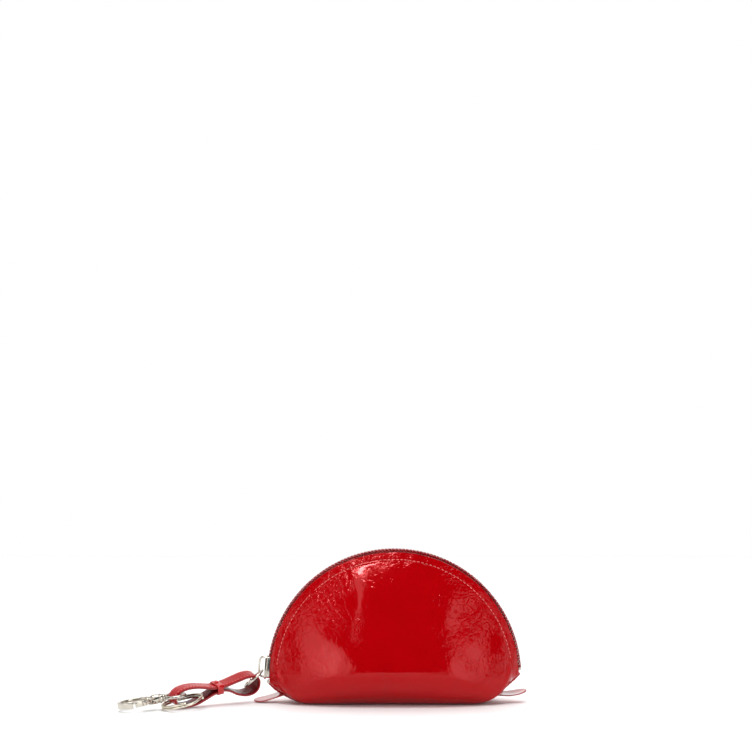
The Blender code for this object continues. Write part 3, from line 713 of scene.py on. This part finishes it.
def build_body():
    seam_cord("left_ear_seam", -1)
    seam_cord("right_ear_seam", 1)
    ear_binding("left_ear_strip", -1)
    ear_binding("right_ear_strip", 1)
    front = build_half("front_leather", -1, 3, material=RED, edge=EDGE)
    back = build_half("back_leather", 1, 11, material=RED, edge=EDGE)
    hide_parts("front_panel")
    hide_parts("back_panel", "base_panel")
    lining_front = build_half("front_lining_cloth", -1, 3, 0.35 * MM, LEATHER + 0.35 * MM, LINING, detail=0.5)
    lining_back = build_half("back_lining_cloth", 1, 11, 0.35 * MM, LEATHER + 0.35 * MM, LINING, detail=0.5)
    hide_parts("front_lining")
    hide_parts("back_lining", "base_lining")
    stitches_front = rim_stitches("front_rim_stitches", -1)
    stitches_back = rim_stitches("back_rim_stitches", 1)
    for obj in (front, lining_front, stitches_front):
        bend(obj)
    for obj in (back, lining_back, stitches_back):
        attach(obj, "purse")


def bend(obj):
    """Bakes the placement of a front-half piece into its own mesh."""
    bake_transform(obj)


# ------------------------------------------------------------------ zip


def on_arc(radius, angle, y):
    return Vector((radius * math.cos(angle), y, DOME_Z + radius * math.sin(angle)))


def parting(angle):
    """How far each row stands aside inside the slider."""
    return 0.7 * MM * float(smooth((angle - SLIDER_ANGLE) * COIL_R, -1.0 * MM, 3.0 * MM))


def build_tape(name, side):
    steps = 150
    profile = [  # across from the middle plane, and away from the dome's centre
        (0.25, 0.2), (1.6, 0.22), (3.4, 0.2), (3.9, 0.05),
        (4.15, -0.5), (4.35, -1.4), (4.75, -3.2), (5.2, -5.4),
    ]
    thick = 0.38
    outer = [Vector((y, r)) for y, r in profile]
    inner = []
    for i, p in enumerate(outer):
        t = (outer[min(i + 1, len(outer) - 1)] - outer[max(i - 1, 0)]).normalized()
        inner.append(p - Vector((-t.y, t.x)) * thick)
    loop = outer + inner[::-1]
    points = []
    first, last = math.radians(2.8), math.radians(181.8)
    for k in range(steps + 1):
        angle = first + (last - first) * k / steps
        apart = parting(angle) / MM
        for y, r in loop:
            shift = apart * max(0.0, 1 - y / 3.5)
            points.append(on_arc(TAPE_R + r * MM, angle, side * (y + shift) * MM))
    faces = grid_faces(steps + 1, len(loop), closed_columns=True)
    faces += [tuple(range(len(loop))), tuple(range(steps * len(loop), (steps + 1) * len(loop)))]
    return object_from(name, points, faces, TAPE, crease_angle=50)


def build_coil(name, side):
    """One side of the coil as a single wound filament, with the two rows half a turn apart."""
    length = (ZIP_LAST - ZIP_FIRST) * COIL_R
    turns = int(length / COIL_PITCH)
    loop = (  # share of the pitch, across, and up
        (0.00, 2.15, 0.10), (0.04, 1.55, 0.52), (0.08, 0.70, 0.60), (0.14, -0.12, 0.50), (0.25, -0.34, 0.00),
        (0.36, -0.12, -0.50), (0.44, 0.70, -0.58), (0.52, 1.55, -0.52), (0.76, 2.28, -0.20),
    )
    path = []
    for k in range(turns):
        for share, y, up in loop:
            along = (k + share + (0.5 if side > 0 else 0.0)) * COIL_PITCH
            angle = ZIP_FIRST + along / COIL_R
            if angle > ZIP_LAST:
                continue
            path.append(on_arc(COIL_R + up * 0.82 * MM, angle, side * (y * MM + parting(angle))))
    section = circle(COIL_WIRE, 6)
    points, faces = [], []
    count = len(path)
    reference = Vector((0, 0, 1))
    for i, p in enumerate(path):
        tangent = (path[min(i + 1, count - 1)] - path[max(i - 1, 0)]).normalized()
        side_way = tangent.cross(reference)
        side_way = side_way.normalized() if side_way.length > 1e-3 else tangent.orthogonal().normalized()
        up = side_way.cross(tangent)
        points += [p + side_way * a + up * b for a, b in section]
        reference = up
    ends = [tuple(range(6)), tuple(range((count - 1) * 6, count * 6))]
    faces = grid_faces(count, 6, closed_columns=True) + ends
    coil = object_from(name, points, faces, NYLON, crease_angle=180)
    return coil


def coil_stitches(name, side):
    """The thread row that holds the coil down to the tape."""
    turns = int((ZIP_LAST - ZIP_FIRST) * COIL_R / COIL_PITCH)
    parts = []
    for k in range(turns):
        start = ZIP_FIRST + (k + 0.1) * COIL_PITCH / COIL_R
        end = ZIP_FIRST + (k + 0.9) * COIL_PITCH / COIL_R
        y = side * (1.45 * MM + parting(start))
        ends = [on_arc(COIL_R + 0.74 * MM, angle, y) for angle in (start, end)]
        parts.append(capsule(*ends, 0.11 * MM, 5))
    points, faces = placed(parts)
    return object_from(name, points, faces, COIL_THREAD)


def build_stop(name, node, angle, ys, material):
    """A small clamped metal stop, rounded, wrapped over the coil."""
    length, y_low, y_high = 1.5 * MM, *ys
    parts = []
    middle = (y_low + y_high) / 2
    path = [on_arc(COIL_R - 0.1 * MM, angle + length * (k / 4 - 0.5) / COIL_R, middle) for k in range(5)]
    parts.append(sweep(path, Vector((0, 1, 0)), rounded(1.75 * MM, y_high - y_low, 0.45 * MM)))
    obj = object_from(name, *placed(parts), material)
    add_bevel(obj, 0.18 * MM)
    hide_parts(node)
    return obj


def build_zip():
    for label, side in (("front", -1), ("back", 1)):
        tape = build_tape(f"{label}_tape_cloth", side)
        coil = build_coil(f"{label}_coil", side)
        rows = coil_stitches(f"{label}_coil_stitches", side)
        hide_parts(f"{label}_zip_tape")
        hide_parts(f"{label}_zip_teeth")
        end = SLIDER_ANGLE + (6.2 + 0.3 + 0.65) * MM / 62.6 / MM
        ys = sorted((side * 0.95 * MM, side * 2.85 * MM))
        stop = build_stop(f"{label}_top_stop_clip", f"top_stop_{label}", end, ys, NICKEL)
        for obj in (tape, coil, rows, stop):
            bend(obj) if side < 0 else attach(obj, "purse")
    stop = build_stop("bottom_stop_clip", "bottom_stop", math.radians(3.4), (-2.15 * MM, 2.15 * MM), NICKEL)
    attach(stop, "purse")


def slider_axes():
    radial = Vector((math.cos(SLIDER_ANGLE), 0.0, math.sin(SLIDER_ANGLE)))
    travel = Vector((-math.sin(SLIDER_ANGLE), 0.0, math.cos(SLIDER_ANGLE)))
    return axes(Vector((0, 0, DOME_Z)), travel, radial.cross(travel), radial)


def slider_outline(half, nose, tail, count=10):
    """Seen from above: a wide shouldered nose, drawn in to a narrower tail."""
    side = []
    for k in range(count + 1):
        t = k / count
        x = 6.0 - 12.0 * t
        width = tail + (half - tail) * float(smooth(x, -4.5, 1.5))
        width *= math.sqrt(max(0.0, 1 - max(0.0, (x - 4.6) / 1.6) ** 2 * nose))
        width *= math.sqrt(max(0.05, 1 - max(0.0, (-x - 5.0) / 1.2) ** 2))
        side.append((x * MM, width * MM))
    return side + [(x, -y) for x, y in reversed(side)]


def build_slider():
    place = slider_axes()
    top = outline_prism(slider_outline(3.8, 0.75, 2.9), 63.9 * MM, 64.85 * MM)
    low = outline_prism(slider_outline(3.15, 0.75, 2.5), 59.15 * MM, 60.15 * MM)
    parts = [top, low]
    for side in (-1, 1):
        edge = ((-5.2, 2.75), (-3.0, 2.85), (0, 3.25), (2.5, 3.45), (4.6, 3.4))
        route = [Vector((x * MM, side * y * MM, 62.95 * MM)) for x, y in edge]
        parts.append(sweep(route, Vector((0, 0, 1)), rounded(0.55 * MM, 1.95 * MM, 0.2 * MM)))
    post = [Vector((5.0 * MM, 0, z * MM)) for z in (59.9, 61, 63, 64.2)]
    diamond = [(0.5 * MM, 0), (0, 0.75 * MM), (-0.5 * MM, 0), (0, -0.75 * MM)]
    parts.append(sweep(post, Vector((1, 0, 0)), diamond))
    body = object_from("slider_shell", *placed(parts, place), NICKEL)
    add_bevel(body, 0.2 * MM)
    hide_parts("slider_body")

    route = (
        (-4.9, 64.6), (-5.0, 65.4), (-4.75, 66.4), (-4.1, 67.2), (-3.0, 67.55), (-1.0, 67.65), (1.0, 67.65),
        (3.0, 67.5), (4.1, 67.1), (4.75, 66.3), (5.0, 65.4), (4.9, 64.6),
    )
    path = catmull([(x * MM, 0, z * MM) for x, z in route], False, 5)
    count = len(path)
    scale = [(1.0, 1.0 + 0.25 * abs(2 * i / (count - 1) - 1) ** 3) for i in range(count)]
    arch = sweep(path, Vector((0, 1, 0)), rounded(1.0 * MM, 1.75 * MM, 0.35 * MM), scale=scale)
    crown = object_from("slider_bail", *placed([arch], place), NICKEL)
    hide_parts("slider_crown")
    for obj in (body, crown):
        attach(obj, "slider")


# ------------------------------------------------------------------ key strap


def build_jump_ring():
    centre, normal, down = JUMP
    normal = normal.normalized()
    side = normal.cross(down).normalized()
    place = axes(centre, side.cross(normal), side, normal)
    gap = math.radians(3.0)
    first = math.radians(205)
    path = []
    for k in range(97):
        angle = first + gap / 2 + (2 * math.pi - gap) * k / 96
        path.append(Vector((JUMP_R * math.cos(angle), JUMP_R * math.sin(angle), 0)))
    wire = sweep(path, Vector((0, 0, 1)), circle(JUMP_WIRE, 14))
    ring = object_from("jump_ring_wire", *placed([wire], place), NICKEL)
    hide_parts("jump_ring")
    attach(ring, "ring")


def strap_axes():
    across = STRAP_ALONG.cross(Vector((0, 0, 1))).normalized()
    if across.y > 0:
        across = -across
    return axes(STRAP_FROM, STRAP_ALONG, across, STRAP_ALONG.cross(across))


def roll_strap(points):
    rolled = []
    for p in points:
        share = min(1.0, max(0.0, p.x / (45.6 * MM)))
        angle = STRAP_ROLLS[0] + (STRAP_ROLLS[1] - STRAP_ROLLS[0]) * share
        rolled.append(Matrix.Rotation(-angle, 3, "X") @ p)
    return rolled


def strap_path(steps):
    return catmull([(a * MM, 0, b * MM) for a, b in STRAP_ROUTE], True, steps)


def build_strap():
    place = strap_axes()
    path = strap_path(12)
    count = len(path)
    half, t = STRAP_WIDTH / 2, STRAP_LEATHER / 2
    # the section's first number is across the leather's thickness, its second along the width
    outer = [
        (t - 0.12 * MM, -half),
        (t, -half + 0.35 * MM),
        (t + 0.06 * MM, -half * 0.5),
        (t + 0.08 * MM, 0),
        (t + 0.06 * MM, half * 0.5),
        (t, half - 0.35 * MM),
        (t - 0.12 * MM, half),
    ]
    inner = [(-a, b) for a, b in reversed(outer)]
    section = outer + inner
    points, faces = sweep(path, Vector((0, 1, 0)), section, closed=True)
    wobble = []
    for i, p in enumerate(points):
        n = noise.noise(Vector(p) * 260)
        wobble.append(p + Vector((0, 0.10 * MM * n, 0.06 * MM * n)))
    sides = len(section)
    sheet_slots = [0 if c < len(outer) else 1 for c in range(sides)]
    for c in (len(outer) - 1, sides - 1):
        sheet_slots[c] = 2
    slots = sheet_slots * count
    middle = (Vector(points[3]) - Vector(path[0])).normalized().z
    materials = [STRAP_RED, STRAP_BACK, EDGE] if middle > 0 else [STRAP_BACK, STRAP_RED, EDGE]
    band = object_from("strap_leather", roll_strap(wobble), faces, materials, slots)
    band.matrix_world = place
    layer = band.data.attributes.new("crease", "FLOAT", "POINT")
    layer.data.foreach_set("value", [0.9] * len(band.data.vertices))
    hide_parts("strap_band")

    outward = 1 if middle > 0 else -1
    parts = []
    lengths = [0.0]
    for i in range(count):
        lengths.append(lengths[-1] + (path[(i + 1) % count] - path[i]).length)
    pitch = 1.7 * MM
    total = lengths[-1]

    def at(distance):
        distance %= total
        i = int(np.searchsorted(lengths, distance, side="right")) - 1
        i = min(max(i, 0), count - 1)
        f = (distance - lengths[i]) / max(1e-9, lengths[i + 1] - lengths[i])
        p = path[i].lerp(path[(i + 1) % count], f)
        tangent = (path[(i + 1) % count] - path[i]).normalized()
        away = Vector((0, 1, 0)).cross(tangent).normalized() * outward
        return p, away

    for edge in (-1, 1):
        for k in range(int(total / pitch)):
            ends = []
            for share in (0.12, 0.78):
                p, away = at((k + share) * total / int(total / pitch))
                ends.append(p + away * (t + 0.06 * MM) + Vector((0, edge * (half - 0.95 * MM), 0)))
            piece, piece_faces = capsule(ends[0], ends[1], 0.19 * MM, 6)
            parts.append((roll_strap(piece), piece_faces))
    stitches = object_from("strap_stitches", *placed(parts, place), THREAD)

    near = [p for p in path if abs(p.x - KEEPER_ALONG) < 2.6 * MM]
    wall = 0.6 * MM
    gap = STRAP_LEATHER / 2 + 0.12 * MM + wall / 2
    high, low = max(p.z for p in near) + gap, min(p.z for p in near) - gap
    wide = half + 0.15 * MM + wall / 2
    centre, rise = (high + low) / 2, (high - low) / 2
    ring = [(a, b) for a, b in rounded(2 * wide, 2 * rise, 1.1 * MM, 6)]
    keeper_path = [Vector((KEEPER_ALONG, a, centre + b)) for a, b in ring]
    points, faces = sweep(keeper_path, Vector((1, 0, 0)), rounded(wall, 3.4 * MM, 0.25 * MM), closed=True)
    knob = lathe([(-0.6, 0.7), (-0.6, 1.05), (-0.1, 1.2), (0.5, 1.0), (0.85, 0.5)], 20)
    lifted = [Vector((KEEPER_ALONG + p.y, p.z - 0.6 * MM, high + wall / 2 + p.x)) for p in knob[0]]
    points, faces = placed([(points, faces), (lifted, knob[1])])
    keeper = object_from("keeper_leather", roll_strap(points), faces, KEEPER_RED)
    keeper.matrix_world = place
    layer = keeper.data.attributes.new("crease", "FLOAT", "POINT")
    layer.data.foreach_set("value", [0.7] * len(keeper.data.vertices))
    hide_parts("strap_keeper")
    for obj in (band, stitches, keeper):
        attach(obj, "strap")


def build_split_ring():
    centre, normal = SPLIT
    normal = normal.normalized()
    ahead = Vector((0, 1, 0)).cross(normal).normalized()
    place = axes(centre, ahead, normal.cross(ahead), normal)
    steps, turns = 90, 1.79
    path = []
    for k in range(int(steps * turns) + 1):
        angle = 2 * math.pi * k / steps
        height = SPLIT_PITCH * (float(smooth(k / steps, 0.82, 0.97)) - 0.5)
        path.append(Vector((SPLIT_R * math.cos(angle), SPLIT_R * math.sin(angle), height)))
    section = rounded(1.06 * MM, 1.08 * MM, 0.36 * MM, 3)
    wire = sweep(path, Vector((0, 0, 1)), section)
    ring = object_from("split_ring_wire", *placed([wire], place), WARM_NICKEL)
    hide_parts("split_ring")
    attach(ring, "key_ring")


# ------------------------------------------------------------------ snap hook


def hook_axes():
    across = Vector((-HOOK_ALONG.y, HOOK_ALONG.x, 0.0)).normalized()
    if across.y > 0:
        across = -across
    return axes(HOOK_FROM, HOOK_ALONG, across, HOOK_ALONG.cross(across))


def loop_point(degrees):
    a = math.radians(degrees)
    return Vector((LOOP_MIDDLE + LOOP_HALF_LENGTH * math.cos(a), LOOP_HALF_WIDTH * math.sin(a), 0))


def lathe(profile, sides=28):
    """A turned shape about the first axis, from (along, radius) pairs in millimetres."""
    points = []
    for x, r in profile:
        for k in range(sides):
            a = 2 * math.pi * k / sides
            points.append(Vector((x * MM, r * MM * math.cos(a), r * MM * math.sin(a))))
    faces = grid_faces(len(profile), sides, closed_columns=True)
    faces += [tuple(range(sides)), tuple(range((len(profile) - 1) * sides, len(profile) * sides))]
    return points, faces


def build_hook():
    place = hook_axes()
    up = Vector((0, 0, 1))
    path = [loop_point(-180 + (72 + 180) * k / 72) for k in range(73)]
    scale = [(1.0, 1.0 - 0.12 * math.sin(math.pi * k / 72)) for k in range(73)]
    hook = [sweep(path, up, rounded(1.65 * MM, 3.3 * MM, 0.35 * MM, 3), scale=scale)]
    hub_wall = [
        (0.25, 1.25), (0.0, 1.5), (0.0, 2.05), (0.25, 2.35), (1.2, 2.45), (1.5, 2.15),
        (1.9, 2.15), (2.2, 2.45), (4.6, 2.4), (5.4, 2.0), (6.1, 1.6), (6.1, 1.25),
    ]
    points = []
    sides = 28
    for x, r in hub_wall:
        for k in range(sides):
            a = 2 * math.pi * k / sides
            points.append(Vector((x * MM, r * MM * math.cos(a), r * MM * math.sin(a))))
    faces = grid_faces(len(hub_wall), sides, closed_rows=True, closed_columns=True)
    hook.append((points, faces))
    pivot = loop_point(150)
    for level in (-1, 1):
        outline = [
            (3.2, 0.2), (3.6, 2.4), (5.2, 3.9), (6.4, 4.3), (7.5, 3.9), (7.8, 2.9), (7.1, 1.9), (5.8, 1.6)
        ]
        lug = outline_prism([(x * MM, y * MM) for x, y in outline], level * 0.95 * MM, level * 1.6 * MM)
        hook.append(lug)
    body = object_from("hook_shell", *placed(hook, place), NICKEL)
    add_bevel(body, 0.12 * MM, 2)
    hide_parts("hook_body")

    path = [loop_point(150 - (150 - 79) * k / 24) for k in range(25)]
    scale = [(1.0, 1.0 if k < 9 else 2.05) for k in range(25)]
    lever = [sweep(path, up, rounded(1.25 * MM, 1.35 * MM, 0.3 * MM), scale=scale)]
    knuckle = [pivot - up * 0.64 * MM, pivot + up * 0.64 * MM]
    lever.append(sweep(knuckle, Vector((1, 0, 0)), circle(0.95 * MM, 20)))
    thumb = loop_point(112) + Vector((0, 1.0 * MM, 0))
    rounded_ends = [(0.8, 0.8), (1, 1), (1, 1), (0.8, 0.8)]
    rest = [thumb - up * 1.1 * MM, thumb - up * 0.9 * MM, thumb + up * 0.9 * MM, thumb + up * 1.1 * MM]
    lever.append(sweep(rest, Vector((1, 0, 0)), circle(0.85 * MM, 18), scale=rounded_ends))
    gate = object_from("gate_shell", *placed(lever, place), NICKEL)
    add_bevel(gate, 0.1 * MM, 2)
    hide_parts("gate_lever")

    levels = [pivot + up * z * MM for z in (-1.85, -1.7, 1.7, 1.85)]
    heads = [sweep(levels, Vector((1, 0, 0)), circle(0.5 * MM, 18), scale=rounded_ends)]
    pin = object_from("gate_rivet", *placed(heads, place), WARM_NICKEL)
    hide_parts("gate_pin")

    bend_line = ((8.3, 2.2), (8.9, 2.7), (9.7, 3.3), (10.6, 4.2))
    leaf = catmull([(x * MM, y * MM, 0) for x, y in bend_line], False, 6)
    blade = sweep(leaf, up, rounded(0.2 * MM, 1.6 * MM, 0.08 * MM))
    spring = object_from("gate_leaf_spring", *placed([blade], place), WARM_NICKEL)
    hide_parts("gate_spring")

    eye_middle = -6.6
    turn = np.linspace(0, 2 * math.pi, 73)[:-1]
    oval = [Vector(((eye_middle + 5.2 * math.cos(a)) * MM, 5.6 * math.sin(a) * MM, 0)) for a in turn]
    eye = [sweep(oval, up, circle(0.8 * MM, 14), closed=True)]
    collar = [(-1.9, 1.0), (-1.7, 1.7), (-1.4, 1.9), (-0.5, 1.9), (-0.3, 1.7), (-0.3, 0.9), (6.75, 0.9)]
    eye.append(lathe(collar))
    swivel = object_from("swivel_eye_wire", *placed(eye, place), NICKEL)
    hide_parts("swivel_eye")
    head = lathe([(7.05, 0.6), (7.05, 1.4), (7.25, 1.6), (7.55, 1.55), (7.75, 1.1), (7.82, 0.5)])
    rivet = object_from("swivel_rivet_head", *placed([head], place), WARM_NICKEL)
    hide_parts("swivel_head")
    rides = {body: "hook", pin: "hook", spring: "hook", gate: "gate", swivel: "swivel", rivet: "swivel"}
    for obj, body_name in rides.items():
        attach(obj, body_name)


# ------------------------------------------------------------------ base tabs


def build_tab(name, node, middle_line, width, cup, tip_up):
    """A leather tab with a rounded end and painted edges."""
    path = catmull([(x * MM, 0, z * MM) for x, z in middle_line], False, 10)
    count = len(path)
    tip = path[-1]
    reach = abs(path[-1].x - path[0].x)
    half = width / 2
    across_count = 13
    top, under = [], []
    for p_index, p in enumerate(path):
        from_tip = abs(tip.x - p.x)
        round_end = min(1.0, (from_tip + 0.05 * MM) / half)
        waist = 0.80 + 0.20 * min(1.0, 2 * (1 - from_tip / reach))
        w = half * math.sqrt(max(0.0, 1 - (1 - round_end) ** 2)) * waist
        after, before = path[min(p_index + 1, count - 1)], path[max(p_index - 1, 0)]
        tangent = (after - before).normalized()
        normal = tangent.cross(Vector((0, 1, 0))).normalized()
        if normal.z < 0:
            normal = -normal
        for k in range(across_count):
            y = w * (2 * k / (across_count - 1) - 1)
            lift = cup * (y / half) ** 2 + tip_up * y / half
            edge = abs(2 * k / (across_count - 1) - 1)
            thick = 0.42 * MM * (1 - 0.4 * edge**6)
            base = p + Vector((0, y, 0)) + Vector((0, 0, lift))
            top.append(base + normal * thick)
            under.append(base - normal * thick)
    points = top + under
    size = len(top)
    faces = grid_faces(count, across_count)
    faces += [tuple(i + size for i in face) for face in faces]
    slots = [0] * len(faces)
    for r in range(count - 1):
        for c in (0, across_count - 1):
            a, b = r * across_count + c, (r + 1) * across_count + c
            faces.append((a, b, b + size, a + size))
            slots.append(1)
    for r in (0, count - 1):
        for c in range(across_count - 1):
            a, b = r * across_count + c, r * across_count + c + 1
            faces.append((a, b, b + size, a + size))
            slots.append(1)
    tab = object_from(name, points, faces, [TAB_LEATHER, EDGE], slots)
    layer = tab.data.attributes.new("crease", "FLOAT", "POINT")
    layer.data.foreach_set("value", [0.5] * len(tab.data.vertices))
    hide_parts(node)
    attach(tab, "purse")
    return tab


def build_tabs():
    left = ((-49.5, 6.0), (-53.0, 5.2), (-57.0, 4.0), (-61.5, 2.6), (-65.5, 1.5), (-70.0, 1.1))
    right = ((50.8, 4.0), (54.0, 4.0), (57.0, 3.9), (60.0, 4.2), (63.0, 4.9), (66.0, 6.0))
    build_tab("left_tab_leather", "left_tab", left, 10.4 * MM, 0.1 * MM, 0.6 * MM)
    build_tab("right_tab_leather", "right_tab", right, 10.4 * MM, 0.5 * MM, 0.55 * MM)


# ------------------------------------------------------------------ stage, light and camera


def area_light(name, azimuth, elevation, distance, width, height, radiance, roll=0.0, glossy=True):
    """A soft box that faces the purse. Azimuth is degrees to the right of the front."""
    az, el = math.radians(azimuth), math.radians(elevation)
    target = Vector((0, 0, 0.03))
    away = Vector((math.sin(az) * math.cos(el), -math.cos(az) * math.cos(el), math.sin(el)))
    light = bpy.data.lights.new(name, "AREA")
    light.shape = "RECTANGLE"
    light.size, light.size_y = width, height
    light.energy = radiance * math.pi * width * height
    obj = bpy.data.objects.new(name, light)
    bpy.context.scene.collection.objects.link(obj)
    turn = (-away).to_track_quat("-Z", "Y").to_matrix().to_4x4() @ Matrix.Rotation(math.radians(roll), 4, "Z")
    turn.translation = target + away * distance
    obj.matrix_world = turn
    obj.visible_glossy = glossy
    return obj


def build_stage():
    points = [(-1.6, -0.9, 0), (1.6, -0.9, 0), (1.6, 1.0, 0), (-1.6, 1.0, 0)]
    floor = object_from("floor", points, [(0, 1, 2, 3)], floor_material(), shade_smooth=False)

    area_light("left_card", -45, 12, 1.7, 0.66, 1.15, 2.1, roll=8)
    area_light("left_low_card", -28, 6, 1.7, 0.46, 0.58, 2.1, roll=38)
    area_light("left_strip", -17, 36, 1.7, 0.17, 0.66, 2.1, roll=4)
    area_light("right_card", 42, 12, 1.7, 0.66, 1.10, 2.4, roll=-12)
    area_light("left_side", -86, 12, 1.7, 0.50, 0.80, 1.5)
    area_light("right_side", 86, 12, 1.7, 0.50, 0.80, 1.5)
    area_light("top_box", 0, 78, 1.7, 1.3, 0.8, 6.4)
    area_light("wedge_light", -12, 48, 1.6, 0.46, 0.055, 42.0, roll=8)
    area_light("floor_light", 0, 122, 1.9, 2.6, 0.9, 2.5, glossy=False)

    world = bpy.data.worlds.new("studio")
    bpy.context.scene.world = world
    world.use_nodes = True
    tree = world.node_tree
    sky = tree.nodes["Background"]
    sky.inputs["Color"].default_value = (1, 1, 1, 1)
    parts = tree.nodes.new("ShaderNodeSeparateXYZ")
    tree.links.new(tree.nodes.new("ShaderNodeTexCoord").outputs["Generated"], parts.inputs[0])
    spread = add_node(tree, "ShaderNodeMapRange")
    spread.interpolation_type = "SMOOTHSTEP"
    tree.links.new(parts.outputs["Y"], spread.inputs["Value"])
    for key, value in (("From Min", 0.05), ("From Max", 0.45), ("To Min", 0.006), ("To Max", 1.0)):
        spread.inputs[key].default_value = value
    seen = tree.nodes.new("ShaderNodeLightPath").outputs["Is Camera Ray"]
    tree.links.new(math_node(tree, "MAXIMUM", spread.outputs[0], seen), sky.inputs["Strength"])
    bpy.context.scene.view_settings.view_transform = "Standard"

    camera = bpy.data.cameras.new("camera")
    camera.sensor_width = 36.0
    camera.lens = 119.7
    camera.clip_start, camera.clip_end = 0.01, 50
    holder = bpy.data.objects.new("camera", camera)
    bpy.context.scene.collection.objects.link(holder)
    holder.location = (-9.1 * MM, -1.25, 0.163)
    holder.rotation_euler = (math.radians(90), 0, 0)
    bpy.context.scene.camera = holder


build_body()
build_zip()
build_slider()
build_jump_ring()
build_strap()
build_split_ring()
build_hook()
build_tabs()
build_stage()

bpy.context.view_layer.update()
